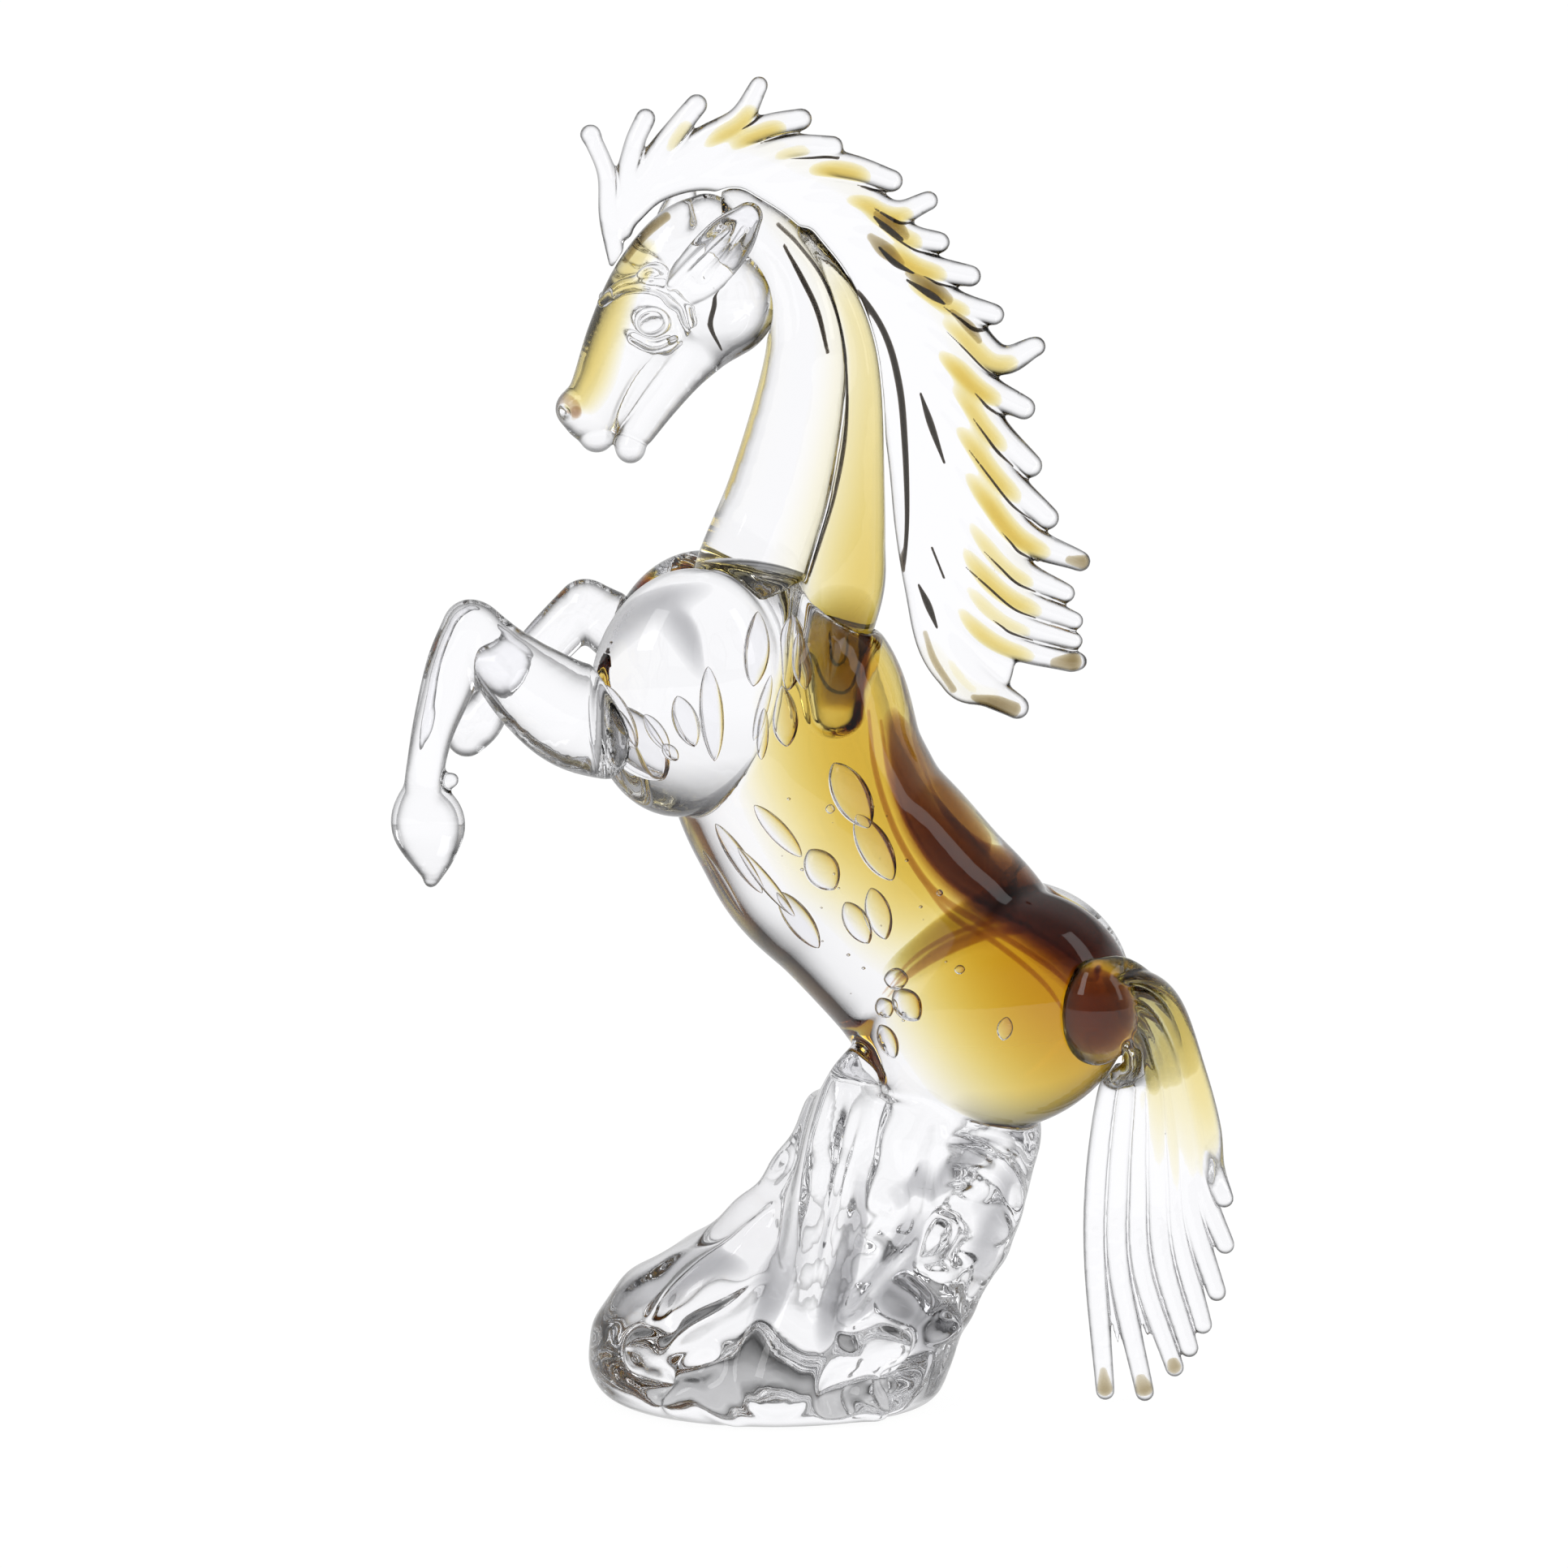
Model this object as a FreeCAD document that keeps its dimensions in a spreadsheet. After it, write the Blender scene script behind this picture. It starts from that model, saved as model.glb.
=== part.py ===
import FreeCAD, Part
import math
import os

from FreeCAD import Placement, Rotation, Vector

# A rearing horse in hot-worked glass, clear over an amber core, standing on a clear glass rock.
# The horse faces -X, its left side is -Y, +Z is up. The origin is the middle of the rock's flat underside.
# Every bit of glass that the maker applies hot is a solid of its own, and the bits meet face to face.

doc = FreeCAD.newDocument("RearingHorse")
sheet = doc.addObject("Spreadsheet::Sheet", "Sizes")
sheet_row = 1

# Where round ends have their sections, as angles up from the widest one.
TIP_ANGLES = (35, 60, 80)
PEBBLE_ANGLES = (-82, -66, -45, -22, 0, 22, 45, 66, 82)

# Half the thickness of a mane lock, how far the tail's two layers of locks lie from the middle, and how far
# they swing towards the left from top to tip.
LOCK_DEEP = 3.6
TAIL_LAYER = 2.9
TAIL_SWING = 6
LOCK_SPANS = 4
TAIL_SPANS = 6


def size(alias, value):
    """Keep one driving dimension, in millimetres, in the sheet and return its expression."""
    global sheet_row
    sheet.set(f"A{sheet_row}", alias)
    sheet.set(f"B{sheet_row}", str(value))
    sheet.setAlias(f"B{sheet_row}", alias)
    sheet_row += 1
    return f"Sizes.{alias}"


def ring(name, centre, lean, across, deep):
    """An elliptical section: across lies in the XZ plane, leaning up from +X by lean degrees; deep lies on Y."""
    section = doc.addObject("Part::Ellipse", f"{name}_ring")
    upright = Rotation(Vector(0, 1, 0), -lean)
    if deep > across:
        section.setExpression("MajorRadius", size(f"{name}_deep", deep))
        section.setExpression("MinorRadius", size(f"{name}_across", across))
        upright = upright.multiply(Rotation(Vector(0, 0, 1), 90))
    else:
        section.setExpression("MajorRadius", size(f"{name}_across", across))
        section.setExpression("MinorRadius", size(f"{name}_deep", deep))
    section.Placement = Placement(Vector(*centre), upright)
    return section


def loft(name, stations):
    """A solid through elliptical stations, each (x, y, z, lean, across, deep)."""
    sections = []
    for number, (x, y, z, lean, across, deep) in enumerate(stations, 1):
        sections.append(ring(f"{name}_{number}", (x, y, z), lean, across, deep))
    body = doc.addObject("Part::Loft", name)
    body.Sections = sections
    body.Solid = True
    body.Ruled = False
    body.MaxDegree = 3
    return body


def limb(name, route, closed_root=False):
    """A pulled limb along route points (x, y, z, across, deep), square to its route and rounded at its tip."""
    stations = []
    last = len(route) - 1
    for number, (x, y, z, across, deep) in enumerate(route):
        before = route[max(number - 1, 0)]
        after = route[min(number + 1, last)]
        lean = math.degrees(math.atan2(after[2] - before[2], after[0] - before[0])) - 90
        stations.append((x, y, z, lean, across, deep))
    stations += rounded_end(stations[-2], stations[-1])
    if closed_root:
        stations = rounded_end(stations[1], stations[0])[::-1] + stations
    return loft(name, stations)


def rounded_end(inner, outer):
    """Three shrinking stations that round off the end of a limb, as a hot tip rounds itself."""
    run = Vector(*outer[:3]).sub(Vector(*inner[:3]))
    run.normalize()
    reach = outer[4]
    tips = []
    for angle in TIP_ANGLES:
        along = reach * math.sin(math.radians(angle))
        shrink = math.cos(math.radians(angle))
        centre = Vector(*outer[:3]).add(run * along)
        tips.append((centre.x, centre.y, centre.z, outer[3], outer[4] * shrink, outer[5] * shrink))
    return tips


def ball(name, centre, along_x, along_y, along_z, lean=0):
    """An ellipsoid bit of glass, leaning in the XZ plane by lean degrees."""
    bit = doc.addObject("Part::Ellipsoid", name)
    bit.setExpression("Radius1", size(f"{name}_z", along_z))
    bit.setExpression("Radius2", size(f"{name}_x", along_x))
    bit.setExpression("Radius3", size(f"{name}_y", along_y))
    bit.Placement = Placement(Vector(*centre), Rotation(Vector(0, 1, 0), -lean))
    return bit


def pebble(name, centre, along_x, along_y, along_z, lean):
    """An ellipsoid bit of glass lofted along its longest way, which leans from upright by lean degrees."""
    axis = Vector(math.sin(math.radians(lean)), 0, math.cos(math.radians(lean)))
    stations = []
    for angle in PEBBLE_ANGLES:
        middle = Vector(*centre).add(axis * (along_z * math.sin(math.radians(angle))))
        shrink = math.cos(math.radians(angle))
        stations.append((middle.x, middle.y, middle.z, -lean, along_x * shrink, along_y * shrink))
    return loft(name, stations)


def fuse(name, bits):
    """One solid from bits that are worked together while hot."""
    joined = doc.addObject("Part::MultiFuse", name)
    joined.Shapes = bits
    return joined


def cut(name, piece, tools):
    """The piece less its neighbours, so that they meet face to face."""
    if len(tools) > 1:
        tool = doc.addObject("Part::MultiFuse", f"{name}_neighbours")
        tool.Shapes = tools
    else:
        tool = tools[0]
    trimmed = doc.addObject("Part::Cut", f"{name}_trimmed")
    trimmed.Base = piece
    trimmed.Tool = tool
    return trimmed


pieces = {}

# Trunk: a column of glass from the withers down to the rump, clear outside with an amber gather inside.
trunk = loft("trunk", [
    (0, 0, 248, -8, 22, 13),
    (0, 0, 238, -5, 31.5, 20),
    (-1, 0, 207, 0, 38.5, 26),
    (10, 0, 178, 6, 41, 28),
    (29, 0, 151, 15, 42, 28.5),
    (52, 0, 131, 11, 43.5, 30),
    (61, 0, 113, 3, 41, 31),
    (65, 0, 95, 0, 34.5, 27),
    (66, 0, 84, 0, 22, 17),
    (66, 0, 81, 0, 12, 9),
])
trunk_core = loft("trunk_core", [
    (18, 0, 232, 0, 8, 6),
    (17, 0, 224, 0, 12, 10),
    (16, 0, 205, 2, 17, 14),
    (28, 0, 178, 8, 19, 16),
    (45, 0, 152, 15, 21, 18),
    (64, 0, 131, 9, 26, 21),
    (69, 0, 113, 3, 27, 21),
    (70, 0, 98, 0, 21, 16),
    (70, 0, 91, 0, 10, 8),
])
pieces["body_casing"] = cut("body_casing", trunk, [trunk_core])
pieces["body_core"] = trunk_core

# Neck: an arched column from the withers to the poll, with its amber core towards the crest.
neck = loft("neck", [
    (1, 0, 228, -8, 28, 17),
    (2.5, 0, 248, -15, 29.5, 16.5),
    (6, 0, 268, -8, 24, 14),
    (9, 0, 288.5, 0, 20, 12),
    (10, 0, 309.5, 12, 15, 10.5),
    (7.5, 0, 327, 22, 12, 9.5),
    (0, 0, 341, 42, 10.5, 9),
    (-13, 0, 350, 68, 8.5, 8),
])
neck_core = loft("neck_core", [
    (16, 0, 258, -5, 6, 5),
    (17, 0, 264, -5, 8.5, 7),
    (18, 0, 288, 2, 7.5, 6.5),
    (16, 0, 310, 12, 5.5, 5),
    (10.5, 0, 326, 22, 4, 4),
    (4, 0, 337, 38, 2.5, 2.5),
])
pieces["neck_casing"] = cut("neck_casing", neck, [trunk, neck_core])
pieces["neck_core"] = neck_core

# Shoulders: two round clear bits, one on each side of the chest.
left_shoulder = pebble("left_shoulder_bit", (-27, -17, 210), 28, 19.5, 36, 8)
right_shoulder = pebble("right_shoulder_bit", (-27, 17, 210), 28, 19.5, 36, 8)
pieces["left_shoulder"] = cut("left_shoulder", left_shoulder, [trunk, neck])
pieces["right_shoulder"] = cut("right_shoulder", right_shoulder, [trunk, neck, left_shoulder])

# Head: skull, round cheek, lips and chin worked from one bit, with an amber strip along the nose.
skull = loft("skull", [
    (-20, 0, 352, -25, 10, 7),
    (-25, 0, 337, -30, 18.5, 11),
    (-33, 0, 323, -34, 18, 11.5),
    (-41, 0, 311, -32, 15, 10),
    (-48, 0, 299, -31, 12.5, 8.5),
    (-52, 0, 290, -30, 11.5, 8),
    (-54.5, 0, 286, -30, 8, 6),
])
cheek = ball("cheek", (-18, 0, 325), 18, 12, 18)
upper_lip = ball("upper_lip", (-52, 0, 283.5), 5.5, 6, 5)
chin = ball("chin", (-43, 0, 283.5), 4.6, 5.5, 7.5, -20)
nose = limb("nose", [
    (-37, 0, 348, 3.5, 5.5),
    (-45.5, 0, 331, 4.5, 7),
    (-52.5, 0, 313, 5, 7.5),
    (-57.5, 0, 299, 5.5, 7.5),
    (-59.5, 0, 292, 5.2, 7),
], closed_root=True)
head_bit = fuse("head_bit", [skull, cheek, upper_lip, chin])
pieces["head"] = cut("head", head_bit, [neck, nose])
pieces["face_strip"] = nose

# Ears: two flattened leaves on the poll.
left_ear = limb("left_ear_bit", [(-28, -9, 327, 6.5, 4), (-18, -11, 340, 7.2, 4), (-8.5, -12, 351, 5, 3.5)])
right_ear = limb("right_ear_bit", [(-31, 7, 339, 6.5, 4), (-28, 9, 350, 6, 4), (-26, 10, 357, 4, 3)])
pieces["left_ear"] = cut("left_ear", left_ear, [head_bit, neck])
pieces["right_ear"] = cut("right_ear", right_ear, [head_bit, neck])


def foreleg(name, side, forearm_route, cannon_route):
    """A foreleg pulled from one bit: forearm, bent knee, cannon and hoof, on the side -1 left or 1 right."""
    forearm = limb(f"{name}_forearm", [(x, side * y, z, a, d) for x, y, z, a, d in forearm_route])
    cannon = limb(f"{name}_cannon", [(x, side * y, z, a, d) for x, y, z, a, d in cannon_route], closed_root=True)
    return fuse(f"{name}_bit", [forearm, cannon])


left_leg = foreleg("left_foreleg", -1, [
    (-40, 20, 195, 18, 13),
    (-58, 21, 200.5, 16, 11),
    (-71.5, 22, 209, 11.5, 9),
    (-83.5, 22, 221, 8, 7),
    (-90, 22, 228, 7, 6.5),
], [
    (-91, 22, 231, 6, 6),
    (-95, 22, 222, 6.5, 6),
    (-99.5, 22, 211, 6.3, 5.5),
    (-103.5, 22, 197, 6, 5.5),
    (-105.5, 22, 183, 6.8, 6),
    (-104, 22, 171, 9.8, 7.5),
    (-102.5, 22, 163, 6.5, 6),
    (-102.5, 22, 158, 3.5, 3.5),
])
right_leg = foreleg("right_foreleg", 1, [
    (-30, 20, 218, 14, 12),
    (-45, 21, 227, 9, 9),
    (-55, 22, 231, 7, 7),
], [
    (-58, 22, 231, 6.5, 6.5),
    (-65, 22, 223, 6.3, 6),
    (-74, 22, 213, 5.8, 5.5),
    (-82, 22, 205, 5.8, 5.5),
    (-89, 22, 197.5, 7.5, 6.5),
    (-93.5, 22, 191, 5, 5),
])
pieces["left_foreleg"] = cut("left_foreleg", left_leg, [left_shoulder, trunk])
pieces["right_foreleg"] = cut("right_foreleg", right_leg, [right_shoulder, left_shoulder, trunk])

# Hind legs: drawn down from the rump and sunk into the front and back of the rock.
left_hind = limb("left_hind_bit", [
    (27, -20, 116, 13, 9),
    (22, -22, 98, 12, 9),
    (16, -23, 74, 9.5, 8.5),
    (10, -25, 52, 8, 8),
    (5, -29, 35, 8.5, 8.5),
    (0, -33, 21, 9, 9),
])
right_hind = limb("right_hind_bit", [
    (50, 20, 104, 14, 9),
    (44, 21, 84, 11, 9),
    (35, 22, 62, 8.5, 8),
    (25, 24, 42, 8, 8),
    (19, 28, 26, 8.5, 8.5),
    (16, 31, 18, 8.5, 8.5),
])
pieces["left_hind_leg"] = cut("left_hind_leg", left_hind, [trunk])
pieces["right_hind_leg"] = cut("right_hind_leg", right_hind, [trunk])

# Rock: a lump that narrows upwards and carries the rump.
rock = loft("rock", [
    (0, 0, 0, 0, 48, 40),
    (-1, 0, 4, 0, 52.5, 44.5),
    (-1, 0, 14, 0, 55, 46.5),
    (3, 0, 25, 0, 55.5, 44),
    (11.5, 0, 39, 0, 54.5, 37),
    (22, 0, 51, 0, 48.5, 30),
    (33, 0, 63, 0, 40.5, 25),
    (39.5, 0, 77, 0, 37, 22),
    (42, 0, 92, 0, 33, 20),
])
pieces["base_rock"] = cut("base_rock", rock, [trunk, left_hind, right_hind])

# Mane: a combed sheet of glass on the crest, from which the locks are pulled one by one.
mane_sheet = limb("mane", [
    (-43, 0, 350, 4.5, 3.5),
    (-34, 0, 357, 5.2, 4),
    (-19, 0, 360.5, 5.5, 4),
    (-3, 0, 357.5, 7.5, 4),
    (12, 0, 348, 10, 4),
    (24, 0, 333, 12, 4),
    (33, 0, 313, 13.5, 4),
    (39, 0, 291, 15, 4),
    (42, 0, 265, 17, 4),
    (45, 0, 240, 16.5, 4),
    (48, 0, 224, 12.5, 4),
], closed_root=True)
pieces["mane_sheet"] = cut("mane_sheet", mane_sheet, [neck, trunk, head_bit])

# Each lock runs from a root in the sheet by a bend to its tip: (x, z) for each, then its half width.
locks = [
    ((-44, 345), (-50, 358), (-54, 371), 3),
    ((-41, 352), (-43, 367), (-39.5, 377), 3.4),
    ((-30, 360), (-32, 374), (-25.5, 381.5), 3.6),
    ((-20, 362), (-10, 377), (-6, 386.5), 3.4),
    ((-8, 362), (-2, 374), (4, 376.5), 3.4),
    ((4, 358), (8, 368), (13.5, 369.5), 3.4),
    ((12, 354), (22, 364), (31.5, 359.5), 3.4),
    ((22, 346), (33, 354.5), (41.5, 352), 3.2),
    ((28, 338), (37, 345), (45, 342), 3.3),
    ((34, 328), (45, 336), (53.5, 332.5), 3.4),
    ((39, 318), (50, 325.5), (60.5, 321.5), 3.4),
    ((44, 308), (58, 315), (72.5, 311), 3.6),
    ((48, 296), (59, 303), (69.5, 295), 3.6),
    ((51, 284), (63, 288), (72, 279), 3.6),
    ((54, 272), (66, 275), (77, 264.5), 3.6),
    ((56, 261), (71, 261), (86, 250.5), 3.6),
    ((57, 250), (71, 250.5), (82, 240.5), 3.4),
    ((57, 240), (72, 241), (85.5, 232.5), 3.2),
    ((56, 230), (72, 232.5), (85.5, 225), 3.1),
    ((54, 221), (70, 224), (84, 218), 3.1),
    ((46, 213), (60, 212), (69.5, 205), 3.6),
]


def curve_point(root, bend, tip, share):
    """The point (x, z) at a share of the way along the curve from the root, pulled towards the bend, to the tip."""
    start, middle, end = (1 - share) ** 2, 2 * share * (1 - share), share ** 2
    x = start * root[0] + middle * bend[0] + end * tip[0]
    z = start * root[1] + middle * bend[1] + end * tip[1]
    return x, z


def lock_route(root, bend, tip, half_width):
    """Points on the curve of a mane lock, with its half sizes."""
    route = []
    for step in range(LOCK_SPANS + 1):
        x, z = curve_point(root, bend, tip, step / LOCK_SPANS)
        route.append((x, 0, z, half_width, min(LOCK_DEEP, half_width)))
    return route


lock_before = None
for number, (root, bend, tip, half_width) in enumerate(locks, 1):
    name = f"mane_lock_{number:02d}"
    lock = limb(f"{name}_pull", lock_route(root, bend, tip, half_width))
    neighbours = [mane_sheet] if lock_before is None else [mane_sheet, lock_before]
    pieces[name] = cut(name, lock, neighbours)
    lock_before = lock

# Tail: a dark ball at the croup, out of which eight locks twist and fall side by side.
tail_ball = ball("tail_ball", (93, 0, 116), 12.5, 12, 12.5)
tail_arch = limb("tail_arch", [
    (88, 0, 120, 9, 8),
    (92, 0, 127, 9, 8.5),
    (101, 0, 128, 8.5, 8.5),
    (109, 0, 122, 8.5, 8),
    (112, 0, 114, 8, 7.5),
], closed_root=True)
tail_bit = fuse("tail_bit", [tail_ball, tail_arch])
pieces["tail_root"] = cut("tail_root", tail_bit, [trunk])

# The locks lie in two layers, left and right, so that each clears the next. Each has its top, bend and tip: (x, z).
tail_locks = [
    ((113, 113), (129, 92), (130, 62.5)),
    ((112, 112), (126, 84), (130, 47)),
    ((109, 111), (120, 80), (127, 33)),
    ((108, 110), (117, 72), (122.5, 23.5)),
    ((105, 110), (111, 69), (118.5, 17.5)),
    ((104, 109), (106, 62), (113.5, 11.5)),
    ((101, 109), (100, 60), (106, 6.5)),
    ((100, 108), (90, 58), (95.5, 4.5)),
]
tail_half_widths = (2.2, 2.6, 2.8, 2.8, 2.8, 2.7, 2.6)
for number, (top, bend, tip) in enumerate(tail_locks, 1):
    name = f"tail_lock_{number:02d}"
    side = -1 if number % 2 else 1
    route = []
    for step, half_width in enumerate(tail_half_widths):
        share = step / TAIL_SPANS
        x, z = curve_point(top, bend, tip, share)
        route.append((x, side * TAIL_LAYER - TAIL_SWING * share, z, half_width, half_width))
    lock = limb(f"{name}_pull", route)
    pieces[name] = cut(name, lock, [tail_bit])

for name, piece in pieces.items():
    piece.Label = name
doc.recompute()

# Nothing is written unless every object is sound.
for item in doc.Objects:
    if "Invalid" in item.State or "Error" in item.State:
        raise SystemExit(f"{item.Label}: {item.State}")
for name, piece in pieces.items():
    if piece.Shape.isNull() or not piece.Shape.isValid():
        raise SystemExit(f"{name}: its shape is not sound")

os.makedirs("parts", exist_ok=True)
for name, piece in pieces.items():
    piece.Shape.exportStep(f"parts/{name}.step")
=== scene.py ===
import math

import bpy
import numpy as np
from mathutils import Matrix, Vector


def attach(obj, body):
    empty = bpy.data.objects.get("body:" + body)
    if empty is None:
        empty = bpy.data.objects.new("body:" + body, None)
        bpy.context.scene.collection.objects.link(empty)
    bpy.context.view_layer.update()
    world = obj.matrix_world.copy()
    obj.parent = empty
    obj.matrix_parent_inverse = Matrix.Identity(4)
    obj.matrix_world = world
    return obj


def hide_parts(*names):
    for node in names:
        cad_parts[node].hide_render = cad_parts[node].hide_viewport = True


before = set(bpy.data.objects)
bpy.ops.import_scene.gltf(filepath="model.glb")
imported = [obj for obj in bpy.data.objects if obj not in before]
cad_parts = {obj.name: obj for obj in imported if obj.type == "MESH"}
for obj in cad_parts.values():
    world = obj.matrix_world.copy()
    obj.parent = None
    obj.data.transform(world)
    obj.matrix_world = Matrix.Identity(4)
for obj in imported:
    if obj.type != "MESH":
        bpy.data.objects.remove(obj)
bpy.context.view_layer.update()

# The looks of a hand-worked glass horse. All shaping is in millimetres, in the CAD frame: the horse faces
# -X, its left side is -Y, +Z is up. Each piece of glass is a distance field, filled from sweeps, balls and
# columns that melt into each other, and then skinned.

MM = 0.001
FAR = 1e3
SOFT_REACH = 8.0
SPAN_STEPS = 8
TINY = 1e-9
LEAST_LEVEL = 1e-3
LEAST_SLOPE = 1e-5
SHRINK, SWELL = 0.55, -0.57


# ---------------------------------------------------------------- shaping kit

def smooth_line(points):
    """Rows of numbers, resampled along a Catmull-Rom curve through all of them."""
    rows = np.array(points, float)
    padded = np.vstack([2 * rows[0] - rows[1], rows, 2 * rows[-1] - rows[-2]])
    out = []
    for k in range(1, len(padded) - 2):
        before, start, end, after = padded[k - 1:k + 3]
        for step in range(SPAN_STEPS):
            s = step / SPAN_STEPS
            out.append(0.5 * (2 * start + (end - before) * s
                              + (2 * before - 5 * start + 4 * end - after) * s ** 2
                              + (3 * start - before - 3 * end + after) * s ** 3))
    out.append(rows[-1])
    return np.array(out)


class Sweep:
    """Glass drawn along a line in the XZ plane, with an elliptical section.

    Each station is (x, z, across, deep, y): across is the half width in the XZ plane, deep that on Y."""

    def __init__(self, stations):
        self.line = smooth_line([(row + (0,))[:5] for row in stations])
        self.line[:, 2:4] = np.maximum(self.line[:, 2:4], 0.2)

    def box(self):
        x, z, across, deep, y = self.line.T
        low = (np.min(x - across), np.min(y - deep), np.min(z - across))
        high = (np.max(x + across), np.max(y + deep), np.max(z + across))
        return np.array(low), np.array(high)

    def nearest(self, x, z):
        """For points of the XZ plane: offset in half widths, half sizes, y, place on the line, and side."""
        shape = np.broadcast(x, z).shape
        best = np.full(shape, FAR)
        found = [np.zeros(shape) for _ in range(5)]
        count = len(self.line) - 1
        for k in range(count):
            start, end = self.line[k], self.line[k + 1]
            run = end[:2] - start[:2]
            share = ((x - start[0]) * run[0] + (z - start[1]) * run[1]) / max(run @ run, TINY)
            share = np.clip(share, 0, 1)
            across = start[2] + share * (end[2] - start[2])
            dx = x - start[0] - share * run[0]
            dz = z - start[1] - share * run[1]
            offset = np.sqrt(dx * dx + dz * dz) / across
            nearer = offset < best
            best = np.where(nearer, offset, best)
            side = np.sign(dx * run[1] - dz * run[0])
            deep, middle = (start[n] + share * (end[n] - start[n]) for n in (3, 4))
            for slot, value in zip(found, (across, deep, middle, (k + share) / count, side)):
                slot[...] = np.where(nearer, value, slot)
        return (best, *found)

    def distance(self, x, y, z):
        offset, across, deep, middle, _, _ = self.nearest(x, z)
        return oval(offset / across, (y - middle) / deep ** 2, offset, (y - middle) / deep)


def oval(slope_a, slope_b, a, b):
    """Distance to an ellipse from its two scaled coordinates and their slopes."""
    level = np.maximum(np.sqrt(a * a + b * b), LEAST_LEVEL)
    slope = np.sqrt(slope_a ** 2 + slope_b ** 2)
    return level * (level - 1) / np.maximum(slope, LEAST_SLOPE)


class Ball:
    """An ellipsoid with half sizes (x, y, z), leaning in the XZ plane by lean degrees."""

    def __init__(self, centre, half, lean=0):
        self.centre = np.array(centre, float)
        self.half = np.array(half, float)
        self.lean = math.radians(lean)

    def box(self):
        reach = np.array([max(self.half[0], self.half[2])] * 3)
        reach[1] = self.half[1]
        return self.centre - reach, self.centre + reach

    def distance(self, x, y, z):
        dx, dy, dz = x - self.centre[0], y - self.centre[1], z - self.centre[2]
        along = dx * math.cos(self.lean) + dz * math.sin(self.lean)
        up = -dx * math.sin(self.lean) + dz * math.cos(self.lean)
        parts = (along / self.half[0], dy / self.half[1], up / self.half[2])
        level = np.maximum(np.sqrt(sum(part ** 2 for part in parts)), LEAST_LEVEL)
        slope = np.sqrt(sum((part / half) ** 2 for part, half in zip(parts, self.half)))
        return level * (level - 1) / np.maximum(slope, LEAST_SLOPE)


class Column:
    """An upright stack of ellipses, each level (z, x, along_x, along_y), with flat ends."""

    def __init__(self, levels):
        self.levels = smooth_line(levels)

    def box(self):
        z, x, along_x, along_y = self.levels.T
        return (np.array((np.min(x - along_x), -np.max(along_y), z[0])),
                np.array((np.max(x + along_x), np.max(along_y), z[-1])))

    def distance(self, x, y, z):
        heights = self.levels[:, 0]
        middle, along_x, along_y = (np.interp(z, heights, self.levels[:, k]) for k in (1, 2, 3))
        side = oval((x - middle) / along_x ** 2, y / along_y ** 2, (x - middle) / along_x, y / along_y)
        return melt_inside(melt_inside(side, heights[0] - z, 3), z - heights[-1], 3)


def melt(a, b, blend):
    """Union of two fields, filleted over blend millimetres."""
    if blend <= 0:
        return np.minimum(a, b)
    near = np.maximum(blend - np.abs(a - b), 0) / blend
    return np.minimum(a, b) - near * near * blend / 4


def melt_inside(a, b, blend):
    """Intersection of two fields, rounded over blend millimetres."""
    return -melt(-a, -b, blend)


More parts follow.
